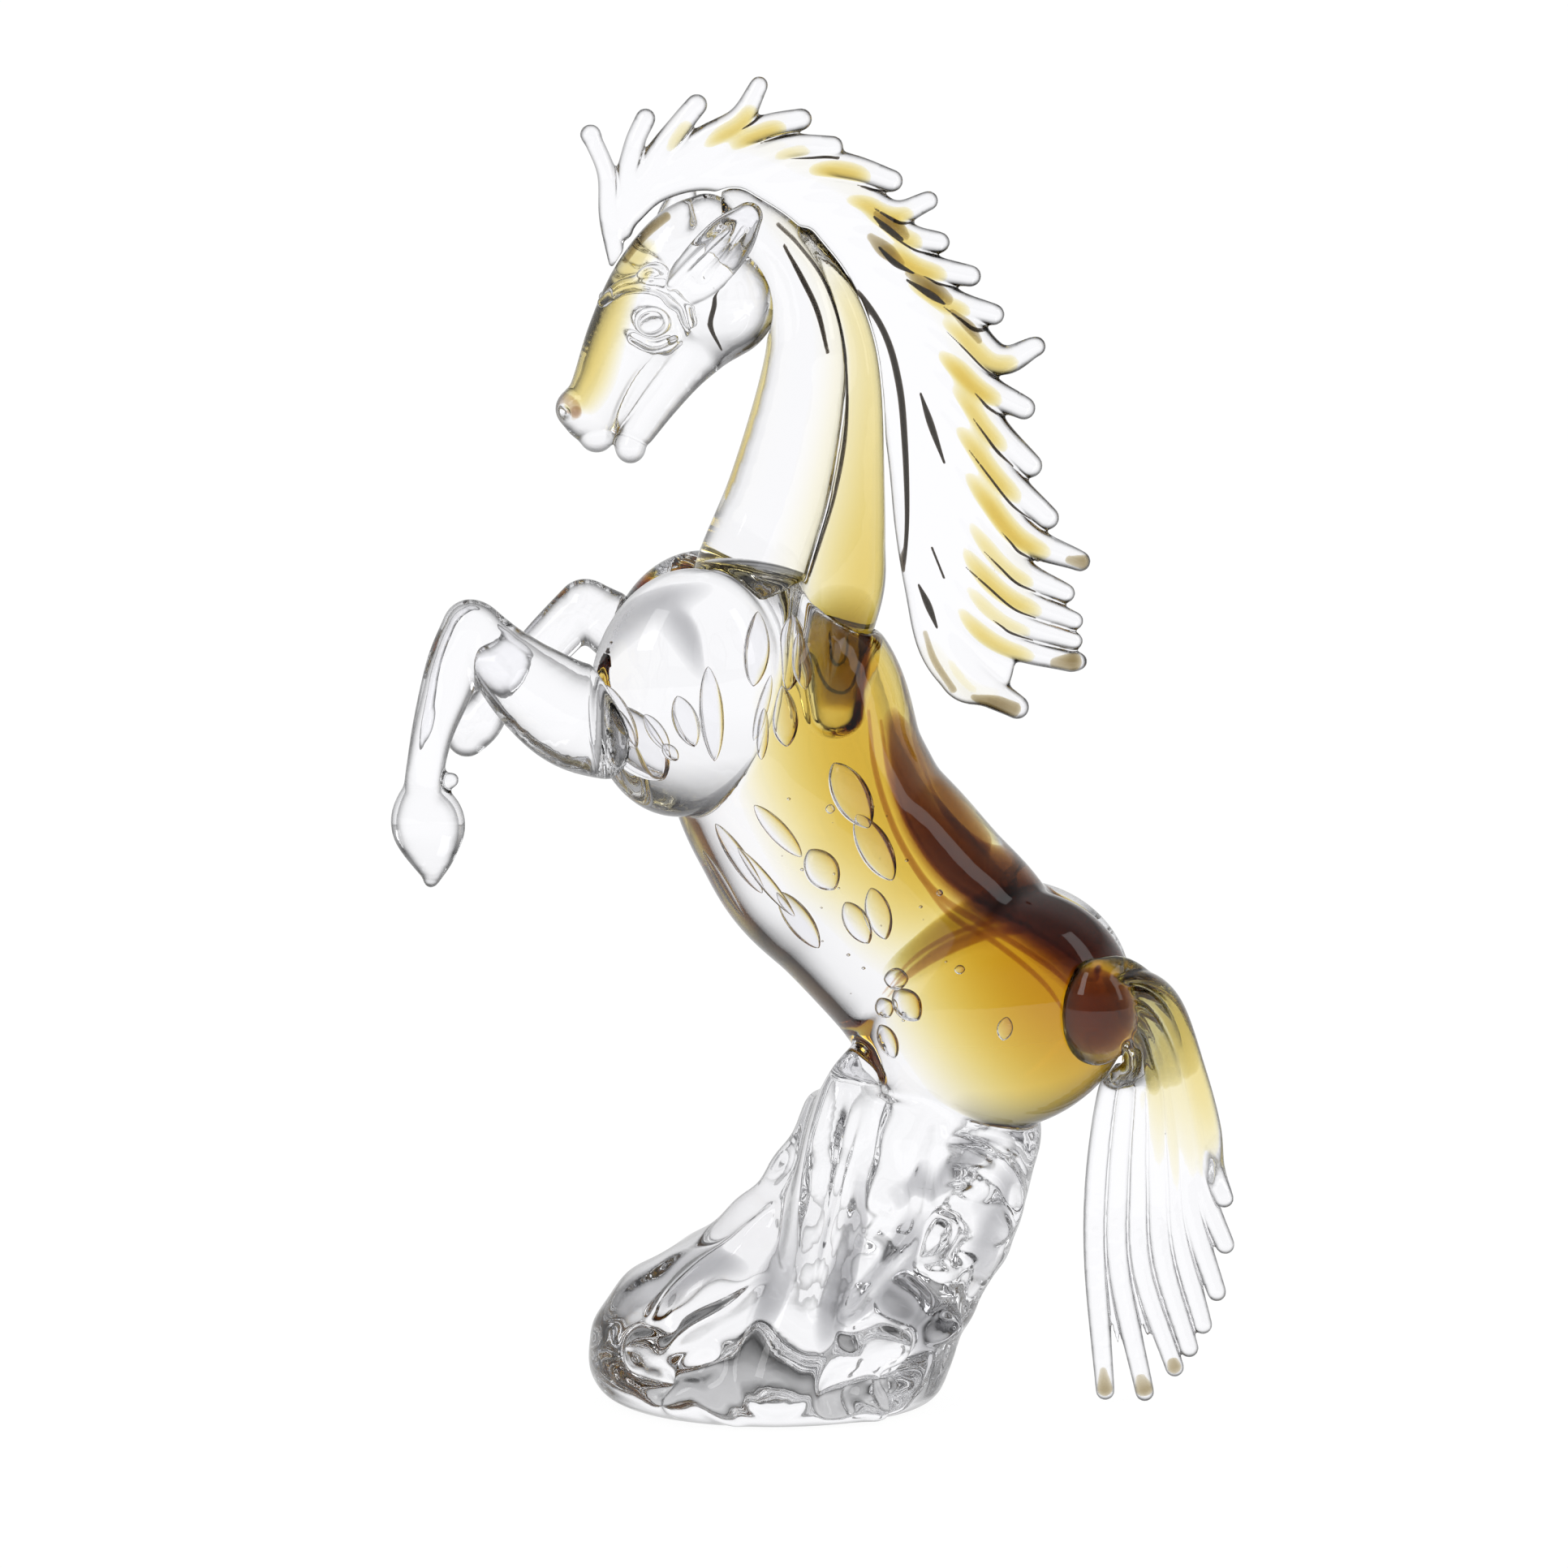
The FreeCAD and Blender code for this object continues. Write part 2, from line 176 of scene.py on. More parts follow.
class Mould:
    """A block of space in which glass is shaped, from low to high in millimetres."""

    def __init__(self, low, high, step, fine_y=1):
        self.steps = np.array((step, step / fine_y, step))
        self.low = np.array(low, float)
        count = np.ceil((np.array(high) - self.low) / self.steps).astype(int) + 1
        self.field = np.full(count, FAR, np.float32)

    def window(self, low, high, margin):
        """The slices of the block around a box, and the coordinates there."""
        first = np.floor((low - margin - self.low) / self.steps).astype(int)
        last = np.ceil((high + margin - self.low) / self.steps).astype(int) + 1
        first = np.clip(first, 0, self.field.shape)
        last = np.clip(last, 0, self.field.shape)
        slices = tuple(slice(a, b) for a, b in zip(first, last))
        x, y, z = (self.low[k] + self.steps[k] * np.arange(first[k], last[k]) for k in range(3))
        return slices, x[:, None, None], y[None, :, None], z[None, None, :]

    def add(self, shape, blend=0):
        low, high = shape.box()
        slices, x, y, z = self.window(low, high, blend + 4 * self.steps[0])
        self.field[slices] = melt(self.field[slices], shape.distance(x, y, z), blend)

    def carve(self, shape, blend=0):
        low, high = shape.box()
        slices, x, y, z = self.window(low, high, blend + 4 * self.steps[0])
        self.field[slices] = melt_inside(self.field[slices], -shape.distance(x, y, z), blend)

    def ripple(self, low, high, depth, wavelength, phase=0.0):
        """Waves the surface between low and high by depth, as hot glass moves under the tools."""
        slices, x, y, z = self.window(np.array(low, float), np.array(high, float), 0)
        turn = 2 * math.pi / wavelength
        wave = (np.sin(turn * (x + 0.35 * z) + phase) * np.sin(turn * (0.9 * z - 0.3 * y) + 1.7 * phase)
                + 0.6 * np.sin(turn * (1.3 * y + 0.5 * x) + 2.3 * phase)
                * np.sin(turn * (1.1 * x - 0.7 * z) + phase))
        fade = 1.0
        for value, bottom, top in ((x, low[0], high[0]), (y, low[1], high[1]), (z, low[2], high[2])):
            fade = (fade * np.clip((value - bottom) / wavelength, 0, 1)
                    * np.clip((top - value) / wavelength, 0, 1))
        self.field[slices] += depth * wave * fade

    def soften(self, rounds):
        """Evens the field out over about one step per round, so that no joint of a sweep shows."""
        self.field = np.clip(self.field, -SOFT_REACH, SOFT_REACH)
        for _ in range(rounds):
            for axis in range(3):
                view = np.moveaxis(self.field, axis, 0)
                view[1:-1] = 0.5 * view[1:-1] + 0.25 * (view[:-2] + view[2:])

    def skin(self, smoothing, softening=2):
        """The surface as vertices in millimetres and quads, by surface nets, smoothed without shrinking."""
        self.soften(softening)
        field = self.field
        inside = field < 0
        total = np.zeros(tuple(n - 1 for n in field.shape) + (4,), np.float32)
        crossings = []
        for axis in range(3):
            lower = [slice(None)] * 3
            upper = [slice(None)] * 3
            lower[axis], upper[axis] = slice(None, -1), slice(1, None)
            where = np.argwhere(inside[tuple(lower)] != inside[tuple(upper)])
            others = [k for k in range(3) if k != axis]
            kept = np.ones(len(where), bool)
            for k in others:
                kept &= (where[:, k] > 0) & (where[:, k] < field.shape[k] - 1)
            where = where[kept]
            ahead = where.copy()
            ahead[:, axis] += 1
            f0 = field[tuple(where.T)]
            f1 = field[tuple(ahead.T)]
            point = where.astype(np.float32)
            point[:, axis] += f0 / (f0 - f1)
            corners = []
            for a, b in ((1, 1), (0, 1), (0, 0), (1, 0)):
                cell = where.copy()
                cell[:, others[0]] -= a
                cell[:, others[1]] -= b
                corners.append(cell)
                flat = np.ravel_multi_index(tuple(cell.T), total.shape[:3])
                for k in range(3):
                    np.add.at(total.reshape(-1, 4)[:, k], flat, point[:, k])
                np.add.at(total.reshape(-1, 4)[:, 3], flat, 1)
            crossings.append((axis, f0 < 0, corners))
        filled = total[..., 3] > 0
        index = np.full(filled.shape, -1, np.int64)
        index[filled] = np.arange(filled.sum())
        found = total[filled]
        vertices = found[:, :3] / found[:, 3:4] * self.steps + self.low
        quads = []
        for axis, outward, corners in crossings:
            quad = np.stack([index[tuple(cell.T)] for cell in corners], 1)
            flip = outward if axis == 1 else ~outward
            quad[flip] = quad[flip][:, ::-1]
            quads.append(quad)
        quads = np.concatenate(quads)
        return relax(vertices, quads, smoothing), quads


def relax(vertices, quads, rounds):
    """Smooths a skin by turns of shrinking and swelling, so that it keeps its size."""
    pairs = np.concatenate([quads[:, (0, 1)], quads[:, (1, 2)], quads[:, (2, 3)], quads[:, (3, 0)]])
    pairs = np.concatenate([pairs, pairs[:, ::-1]])
    count = np.maximum(np.bincount(pairs[:, 0], minlength=len(vertices)), 1)
    for turn in range(2 * rounds):
        weight = SHRINK if turn % 2 == 0 else SWELL
        mean = np.stack([np.bincount(pairs[:, 0], vertices[pairs[:, 1], k], len(vertices)) / count
                         for k in range(3)], 1)
        vertices = vertices + weight * (mean - vertices)
    return vertices


def shell(centre, half, lean, rings=18, sides=24):
    """A bubble: a skin facing inwards, pointed at both ends of its long axis, leaning in the XZ plane."""
    vertices = [(half[0], 0, 0)]
    for ring in range(1, rings):
        polar = math.pi * ring / rings
        girth = math.sin(polar) ** 1.35
        for side in range(sides):
            around = 2 * math.pi * side / sides
            vertices.append((half[0] * math.cos(polar), half[1] * girth * math.cos(around),
                             half[2] * girth * math.sin(around)))
    vertices.append((-half[0], 0, 0))
    x, y, z = np.array(vertices).T
    lean = math.radians(lean)
    x, z = x * math.cos(lean) - z * math.sin(lean), x * math.sin(lean) + z * math.cos(lean)
    vertices = np.stack([x, y, z], 1) + np.array(centre)
    faces = []
    last = len(vertices) - 1
    for side in range(sides):
        after = (side + 1) % sides
        faces.append((0, 1 + after, 1 + side))
        faces.append((last, last - sides + side, last - sides + after))
        for ring in range(rings - 2):
            top, bottom = 1 + ring * sides, 1 + (ring + 1) * sides
            faces.append((top + side, top + after, bottom + after, bottom + side))
    return vertices, faces


def make_piece(name, skins, material, nodes):
    """One Blender object from skins, each (vertices in mm, faces), standing for nodes."""
    vertices, faces, first = [], [], 0
    for points, polygons in skins:
        vertices.append(points)
        faces += [tuple(int(k) + first for k in polygon) for polygon in polygons]
        first += len(points)
    mesh = bpy.data.meshes.new(name)
    mesh.from_pydata(np.concatenate(vertices) * MM, [], faces)
    mesh.polygons.foreach_set("use_smooth", [True] * len(mesh.polygons))
    mesh.materials.append(material)
    mesh.update()
    piece = bpy.data.objects.new(name, mesh)
    bpy.context.scene.collection.objects.link(piece)
    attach(piece, "root")
    if nodes:
        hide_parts(*nodes)


# ---------------------------------------------------------------- glass

def put(node, **values):
    """Sets a node's sockets; an underscore in a name stands for a space."""
    for socket, value in values.items():
        node.inputs[socket.replace("_", " ")].default_value = value


def new_material(name):
    material = bpy.data.materials.new(name)
    material.use_nodes = True
    tree = material.node_tree
    shader = tree.nodes["Principled BSDF"]
    return material, tree, shader


GLASS_IOR = 1.5
# Painted edge shade for the clear glass: grey put into its colour by the Fresnel share, darker where it is
# seen aslant, standing for dark surroundings seen at the edges of real glass: (reflected share, grey), for
# thick glass and thin.
THICK_PAINTED_EDGE_SHADES = ((0.045, 0.96), (0.075, 0.88), (0.13, 0.58), (0.26, 0.26), (0.5, 0.07))
THIN_PAINTED_EDGE_SHADES = ((0.042, 0.975), (0.05, 0.85), (0.075, 0.5), (0.13, 0.22), (0.3, 0.05))


def clear_glass(name, painted_shades):
    """Clear glass with the faint waviness of a fire-polished skin, and painted edge shade: its colour greys
    by the Fresnel share where it is seen aslant.
    """
    material, tree, shader = new_material(name)
    put(shader, Roughness=0.0, IOR=GLASS_IOR, Transmission_Weight=1.0)
    coordinates = tree.nodes.new("ShaderNodeTexCoord")
    waves = tree.nodes.new("ShaderNodeTexNoise")
    put(waves, Scale=70, Detail=1.0)
    bump = tree.nodes.new("ShaderNodeBump")
    put(bump, Strength=0.12, Distance=0.001)
    tree.links.new(coordinates.outputs["Object"], waves.inputs["Vector"])
    tree.links.new(waves.outputs["Fac"], bump.inputs["Height"])
    tree.links.new(bump.outputs["Normal"], shader.inputs["Normal"])
    # Painted shade: the Fresnel share drives a grey ramp into the base colour, darkest at grazing angles.
    slant = tree.nodes.new("ShaderNodeFresnel")
    put(slant, IOR=GLASS_IOR)
    shade = tree.nodes.new("ShaderNodeValToRGB")
    stops = shade.color_ramp.elements
    for number, (place, grey) in enumerate((painted_shades[0], painted_shades[-1], *painted_shades[1:-1])):
        stop = stops[number] if number < 2 else stops.new(place)
        stop.position = place
        stop.color = (grey, grey, min(grey * 1.02, 1), 1)
    tree.links.new(slant.outputs["Fac"], shade.inputs["Fac"])
    tree.links.new(shade.outputs["Color"], shader.inputs["Base Color"])
    return material


def amber_and_shade_core(name, density, colour):
    """Tinted glass inside clear glass, amber, and grey for painted shade: no skin of its own, only a tint
    that deepens with thickness.
    """
    material, tree, shader = new_material(name)
    put(shader, Base_Color=(1, 1, 1, 1), Roughness=0.0, IOR=1.0, Transmission_Weight=1.0)
    tint = tree.nodes.new("ShaderNodeVolumeAbsorption")
    put(tint, Color=colour, Density=density)
    tree.links.new(tint.outputs["Volume"], tree.nodes["Material Output"].inputs["Volume"])
    return material


# ---------------------------------------------------------------- the glass of the horse

FINE = 1.0
BODY_STEP = 0.8 * FINE
HEAD_STEP = 0.45 * FINE
LOCK_STEP = 0.55 * FINE
NECK_STEP = 0.7 * FINE
CORE_STEP = 0.9 * FINE
FINE_CORE_STEP = 0.45 * FINE
GAP = 0.3
SEEDS = 26
SEED_TURN = 2.4

TRUNK = [
    (-8, 222, 27, 19), (-4, 214, 32, 23), (0.6, 205, 37, 26.5), (5.4, 187, 37.4, 28.5), (11, 175, 37.4, 29),
    (17, 165, 37.4, 29), (27, 155, 36.8, 28), (37, 144, 36.4, 27), (47, 133, 36.6, 26), (54, 122, 36, 26),
]
NECK = [
    (-12, 230, 17.5, 17), (-7.5, 247, 16.5, 16.5), (0.5, 269, 15.6, 14.5), (7.2, 298, 13.6, 12),
    (8.4, 315, 12, 11),
    (5, 329, 11, 10), (-2, 340, 10, 9.3), (-13, 349, 8.5, 8.5),
]
CREST = [
    (14, 204, 7.4, 8), (14.5, 215, 9.2, 9.5), (16, 228, 11, 11.5), (18.4, 242, 12.4, 12.4),
    (20, 254, 11, 12),
    (22, 270, 8.8, 10.4), (23.6, 298, 6.2, 8.4), (21.5, 315, 5.4, 7.4), (15.5, 330, 4.8, 6.6),
    (7, 342, 4.2, 6),
]
SHOULDER = ((-27, 17, 212.5), (28, 19.5, 36.5), -8)
FAR_SHOULDER = ((-23, 17, 216), (28, 19.5, 34), -4)
HAUNCH = ((64.2, 8, 117.8), (40, 23, 35.5), 20)
SKULL = [
    (-21, 347, 9, 7.5), (-26, 338, 15, 10.5), (-33, 326, 17, 11.5), (-41.5, 313, 14.5, 10),
    (-49, 300.5, 11, 8.6),
    (-54.5, 292, 8.6, 7.6),
]
JAW = [(-20, 315, 9.6, 9), (-28, 306, 7.8, 7.6), (-35.2, 296.5, 6.6, 6.6), (-41, 287.5, 5.4, 5.4)]
LEFT_FOREARM = [
    (-43, 204, 17.5, 14, -20), (-58, 206, 15.8, 12, -21), (-70, 213.5, 13.4, 10, -22),
    (-80, 222.8, 10.3, 8.5, -22),
    (-87, 231, 8.2, 7, -22),
]
LEFT_CANNON = [
    (-89.2, 232.3, 8.2, 7.2, -22), (-93.2, 223, 8.2, 6.6, -22), (-96.3, 214, 7.6, 6, -22),
    (-100.2, 202, 6.2, 5.6, -22),
    (-102.6, 190, 5.6, 5.6, -22), (-103, 184, 6.2, 6, -22), (-102.8, 179, 8.8, 6.8, -22),
    (-101.8, 175.2, 10.8, 7.2, -22),
    (-101.4, 171.6, 9.6, 6.8, -22), (-100.8, 166, 6.6, 5.6, -22), (-100.6, 161, 3.6, 4, -22),
    (-101, 158.4, 2.4, 2.8, -22),
]
RIGHT_FOREARM = [(-30, 216, 14, 12, 20), (-45, 225, 10.5, 9, 21), (-56, 232, 8.4, 7, 22)]
RIGHT_CANNON = [
    (-57.5, 232.8, 8, 6.8, 22), (-67, 223, 7.8, 6.2, 22), (-76, 213.5, 7, 5.6, 22),
    (-84, 204.5, 6.2, 5.6, 22),
    (-88.5, 198.5, 7, 6.6, 22), (-92, 194, 6, 5.8, 22),
]
LEFT_HIND = [
    (26, 104, 6, 6, -10), (21.5, 97, 7.6, 8, -14), (18, 89, 8, 8.6, -17), (13.5, 74, 7.6, 8.8, -20),
    (8.5, 50, 7.2, 8.5, -26), (5, 36, 7.2, 8, -31), (0.8, 22, 8.4, 8.2, -37), (-1, 14.5, 8.2, 8, -40),
]
RIGHT_HIND = [
    (50, 104, 14, 9, 18), (44, 84, 11, 9, 20), (35, 62, 8.5, 8, 22), (25, 42, 8, 8, 24),
    (19, 26, 8.5, 8.5, 28),
    (16, 18, 8.5, 8.5, 31),
]
ROCK = [
    (0, -1.5, 46.5, 41.5), (3, -2.5, 50, 45), (9, -3, 53, 46.5), (17, -1.5, 54.5, 43.5), (26, 1.5, 55, 39),
    (39, 10.5, 53.5, 32.5), (51, 24.5, 46, 27), (63, 33, 40.5, 24.5), (77, 39.5, 37.5, 23),
    (92, 42.5, 33.5, 21),
]

NEAR_EAR = [(-29, 328, 4.6, 4, -10.5), (-23, 334, 7.4, 3.8, -12.5), (-15, 343, 7.4, 3.4, -14),
            (-8.8, 350.5, 4.2, 3, -14)]
FAR_EAR = [(-33, 338, 5.6, 3.8, 7), (-30, 348, 5.6, 3.4, 9), (-27.5, 355, 3.6, 2.8, 10)]
# The arch that the tail falls from, and the dark boss at the croup beside it.
TAIL_ARCH = [(92, 128, 8, 6, -26), (99, 128.4, 7.4, 6.2, -22), (106, 121.4, 7.4, 6, -13),
             (109.4, 110.6, 8.4, 4.8, -6.5),
             (109.4, 102, 9, 3, -2.5)]
TAIL_BOSS = ((92.3, -25.5, 119.6), (11.6, 9, 15.2))

# Bubbles in the body: (x, z, half length, half width, lean of the long axis from +X, y).
BUBBLES = [
    (-44.9, 207.1, 10, 3.6, -62, -25), (-38.9, 199.7, 11.5, 6.5, -55, -12), (-34.8, 203, 6, 2.4, -58, -27),
    (-31.2, 197.5, 3, 2, -50, -28), (-26.9, 206.4, 7.6, 3.6, -72, -30), (-19.9, 208.3, 13.5, 3.4, -86, -29),
    (-8.4, 225.6, 10.6, 3.8, -98, -20), (3.4, 223, 11.4, 4.6, -92, -12), (6.6, 221.5, 8.4, 2.8, -84, -17),
    (-6.5, 209.3, 9.5, 2, -106, -22), (-5.5, 201.6, 7.7, 2.4, -86, -23), (1.4, 205.7, 8.8, 4, -84, -18),
    (20.2, 182.6, 10.8, 5.2, -62, -18), (14.6, 179.5, 1.4, 1.4, 0, -23), (0.2, 173, 10.1, 2.8, -48, -20),
    (12.7, 161.5, 6.7, 4.6, -58, -16), (27.1, 167.3, 10.8, 4.6, -60, -18),
    (22.8, 146.2, 7.1, 3.6, -60, -19),
    (28.8, 148.6, 7.9, 3.6, -72, -18), (-11.3, 164.6, 12.2, 3, -55, -19), (6.5, 146.9, 10.1, 3.8, -56, -17),
    (-14.4, 156.3, 11.6, 2.4, -58, -8), (-3.5, 158, 13, 2.2, -50, -21), (46.3, 154.6, 1, 1, 0, -22),
    (34.1, 129.6, 3.6, 3.4, 0, -22), (37.7, 121.7, 6, 4.2, -50, -20.5), (31.4, 120.5, 3.6, 3, -60, -16.5),
    (32.4, 110.4, 5.4, 3.4, -62, -17), (65.5, 115.4, 3.4, 2.3, 80, -24), (52.6, 132.2, 1.6, 1.4, 0, -24),
]


def add_both(mould, make, blend):
    """Adds what make(side) gives, on the left and on the right."""
    for side in (-1, 1):
        mould.add(make(side), blend)


def beside(shape, side):
    """A ball of (centre, half, lean) set off to one side."""
    (x, y, z), half, lean = shape
    return Ball((x, side * y, z), half, lean)


def body():
    """Trunk, haunches, shoulders, rock, and the hind legs drawn down over it, with bubbles in the trunk."""
    mould = Mould((-62, -52, -3), (110, 52, 256), BODY_STEP)
    rock(mould)
    mould.add(Sweep(TRUNK), 2)
    add_both(mould, lambda side: beside(HAUNCH, side), 1.6)
    mould.add(beside(SHOULDER, -1), 1.6)
    mould.add(beside(FAR_SHOULDER, 1), 1.6)
    mould.carve(Grown(Sweep(CREST), GAP), 0.5)
    skins = [mould.skin(16, 3)]
    for x, z, half_long, half_wide, lean, y in BUBBLES:
        skins.append(shell((x, y, z), (half_long, half_wide * 0.45, half_wide), lean))
    for number in range(SEEDS):
        turn = number * SEED_TURN
        x, z = 14 + 0.9 * number + 16 * math.cos(turn), 176 - 2.1 * number + 12 * math.sin(turn)
        size = 0.35 + 0.25 * math.sin(3 * turn)
        skins.append(shell((x, -16 - 3 * math.sin(turn), z), (size, size * 0.8, size * 0.8), 0, 8, 10))
    return skins


def neck():
    """The neck and the strand along its back, whose round lower end is sunk into the withers."""
    mould = Mould((-38, -22, 190), (40, 22, 362), NECK_STEP)
    mould.add(Sweep(NECK))
    for shape in body_front():
        mould.carve(Grown(shape, GAP), 0.5)
    mould.add(Sweep(CREST), 0.6)
    for shape in (*head_shapes(), *ear_shapes()):
        mould.carve(Grown(shape, GAP), 0.5)
    return [mould.skin(4)]


def foreleg(side, *shapes):
    """A foreleg, its upper end welded to the shoulder."""
    mould = Mould((-124, min(46 * side, 0), 150), (-20, max(46 * side, 0), 250), NECK_STEP)
    for shape in shapes:
        mould.add(shape, 1.4)
    for shape in body_front():
        mould.carve(Grown(shape, GAP), 0.5)
    return [mould.skin(4)]


def body_front():
    return [Sweep(TRUNK), beside(SHOULDER, -1), beside(FAR_SHOULDER, 1)]


def head_shapes():
    return [Sweep(SKULL), Ball((-18, 0, 325), (17.5, 12.5, 17.5)), Sweep(JAW)]


def ear_shapes():
    return [Sweep(NEAR_EAR), Sweep(FAR_EAR)]


def head():
    """Skull, cheeks, jaw, lips, eyes and ears."""
    mould = Mould((-72, -22, 272), (8, 22, 364), HEAD_STEP)
    for shape in head_shapes():
        mould.add(shape, 2)
    mould.add(Ball((-60, 0, 294), (4.8, 7, 5.5), -30), 2)
    mould.add(Ball((-53, 0, 285.6), (5.2, 6.4, 5.0)), 1.2)
    mould.add(Ball((-43.2, 0, 282.4), (4.6, 5.8, 5.0)), 0.8)
    for side in (-1, 1):
        mould.add(Sweep([(-51, 325, 1.7, 1.6, side * 8.6), (-45, 330, 2.1, 2, side * 9.8),
                         (-36, 330.5, 2.2, 2, side * 11), (-28.5, 326, 1.9, 1.8, side * 12),
                         (-26, 319, 1.5, 1.4, side * 12.2)]), 1)
        mould.add(Ball((-36.7, side * 10.4, 319.5), (4.2, 2.8, 3.5), 20), 0.7)
        mould.add(Sweep([(-42, 315, 1.2, 1.2, side * 10), (-36, 312.6, 1.3, 1.3, side * 11),
                         (-30, 315, 1.2, 1.2, side * 11.8)]), 0.8)
        mould.carve(Sweep([(-36, 310, 1.1, 1.8, side * 11), (-41.5, 303, 1.4, 2.4, side * 9.6),
                           (-46, 294, 1.5, 2.8, side * 8), (-48, 286, 1.6, 3, side * 6.4)]), 1)
        mould.carve(Ball((-62.5, side * 6.5, 293), (2.4, 2, 1.8), -40), 0.8)
        mould.add(Ball((-37, side * 11, 333), (4.6, 1.4, 3.4), 10), 0.8)
        mould.carve(Ball((-37, side * 12.6, 333), (2, 1.4, 1.6), 10), 0.5)
        mould.carve(Sweep([(-24, 322, 0.9, 1.6, side * 12.6), (-21.5, 316, 1, 1.6, side * 12.8),
                           (-25, 311.5, 0.8, 1.4, side * 12)]), 0.8)
    mould.add(Sweep(NEAR_EAR), 0.8)
    mould.carve(Sweep([(-23, 335, 3.4, 1.7, -16.4), (-16, 342.5, 3.8, 1.9, -17.4),
                       (-11, 348, 2, 1.2, -17)]), 0.8)
    for shift in (-4.2, 4.4):
        mould.add(Sweep([(-27 + shift, 331, 1.2, 1.2, -14), (-19.5 + shift, 339, 1.3, 1.3, -16.4),
                         (-12.5 + shift * 0.6, 347, 1.1, 1.1, -16.6)]), 0.6)
    mould.add(Sweep(FAR_EAR), 0.8)
    return [mould.skin(3)]


def rock_side(x, z):
    """How far the rock's skin stands from the middle plane at (x, z)."""
    levels = np.array(ROCK, float)
    middle, along_x, along_y = (np.interp(z, levels[:, 0], levels[:, k]) for k in (1, 2, 3))
    return along_y * math.sqrt(max(1 - ((x - middle) / along_x) ** 2, 0.02))


# Tool marks in the rock, on both faces: (x, z, half size), pits first, then lumps.
PITS = [
    (43.7, 41.5, 4), (24, 28, 4.6), (20, 13, 5), (38, 15.7, 5.4), (18.8, 6.5, 3.2), (33.6, 5, 3.6),
    (-32.4, 25.8, 3),
    (57, 48, 3.6), (53, 63, 3.6), (28, 56, 3.4), (-36, 12, 3.8), (-24, 18, 3.4), (30, 41, 3.6),
]
LUMPS = [(30, 22, 5), (45, 27, 5.4), (27, 6, 3.6), (36, 36, 4.4), (-38, 20, 4.4), (62, 55, 4),
         (-28, 8, 3.6), (46, 53, 4)]
FOLDS = [
    [(45.6, 84, 2.6), (42.6, 72, 3.2), (41, 62, 3.2), (38, 53, 3), (29, 43, 2.6), (20, 33, 1.6)],
    [(46, 80, 2), (52, 79, 3), (60, 76, 3.4), (67, 69, 3.6), (69, 60, 3), (66, 49, 1.6)],
    [(-2, 60, 1.4), (-12, 50, 3), (-22, 43, 3.8), (-31, 36, 3), (-37, 29, 1.4)],
    [(-25, 12, 1.4), (-21, 7.5, 2.6), (-16, 4, 2.2), (-12, 1.5, 1.2)],
    [(-6, 40, 1.4), (-14, 33, 3), (-25, 27, 3.4), (-34, 20, 1.4)],
    [(24, 88, 1.6), (24, 74, 2.6), (22, 60, 2.4), (18, 44, 2.2), (14, 28, 1.6)],
]
LEG_GROOVES = [
    [(10, 86, 0.8, 1.4, -26), (6, 68, 1.8, 2.2, -31), (2, 50, 1.8, 2.2, -36), (-1, 38, 0.8, 1.4, -39)],
    [(24, 90, 1, 1.6, -25), (21, 72, 3, 3, -28), (16, 50, 3.2, 3, -33), (11, 34, 1.4, 2, -38)],
]
HOOF_PRINT = (-0.4, 17.5, 12.2, 1.3)


def rock(mould):
    """The rock and the hind legs drawn down over it."""
    mould.add(Column(ROCK))
    mould.ripple((-62, -52, 2), (84, 52, 96), 1.5, 30)
    mould.ripple((0, -52, 0), (84, 52, 80), 0.3, 17, 1.9)
    for x, z, half in PITS:
        mould.carve(Ball((x, -rock_side(x, z) - half * 0.4, z), (half * 1.9, half * 1.2, half * 1.2),
                         30 * math.sin(7 * x)), 3.4)
    for x, z, half in LUMPS:
        mould.add(Ball((x, half * 0.4 - rock_side(x, z), z), (half * 1.7, half, half * 1.2),
                       40 * math.sin(5 * z)), 4)
    for fold in FOLDS:
        mould.add(Sweep([(x, z, half, half, half * 0.3 - rock_side(x, z)) for x, z, half in fold]), 2)
    for x, z, half in PITS[::4]:
        far = rock_side(x + 5, z) + half * 0.4
        mould.carve(Ball((x + 5, far, z + 4), (half * 1.6, half, half * 1.3), 50), 3)
    mould.add(Ball((32.7, -22.5, 64), (4.6, 4.4, 3.8), 30), 2)
    mould.carve(Sweep([(29, 68, 1, 2, -27), (33, 64, 1.2, 2.4, -27.2), (35, 60, 1, 2, -26.6)]), 1)
    mould.add(Sweep(RIGHT_HIND), 5)
    mould.carve(Groove(), 1.5)
    mould.add(Sweep(LEFT_HIND), 7)
    for route in LEG_GROOVES:
        mould.carve(Sweep(route), 2)


class Groove:
    """A shallow groove round the left hind hoof, where the rock gave way under it."""

    def box(self):
        x, z, radius, _ = HOOF_PRINT
        reach = radius + 3
        return np.array((x - reach, -54.0, z - reach)), np.array((x + reach, -26.0, z + reach))

    def distance(self, x, y, z):
        middle, level, radius, thick = HOOF_PRINT
        around = np.sqrt((x - middle) ** 2 + ((z - level) * 0.9) ** 2) - radius
        levels = np.array(ROCK, float)
        surface = -np.interp(z, levels[:, 0], levels[:, 3])
        return np.sqrt(around ** 2 + (y - surface) ** 2) - thick


class Grown:
    """A shape swelled by a small gap, to carve a neighbour that meets it."""

    def __init__(self, shape, gap):
        self.shape, self.gap = shape, gap

    def box(self):
        low, high = self.shape.box()
        return low - self.gap, high + self.gap

    def distance(self, x, y, z):
        return self.shape.distance(x, y, z) - self.gap


# ---------------------------------------------------------------- mane and tail

class Slab(Sweep):
    """A flat sheet of even thickness with a rounded rim."""

    def distance(self, x, y, z):
        offset, across, deep, middle, _, _ = self.nearest(x, z)
        return melt_inside((offset - 1) * across, np.abs(y - middle) - deep, 3)


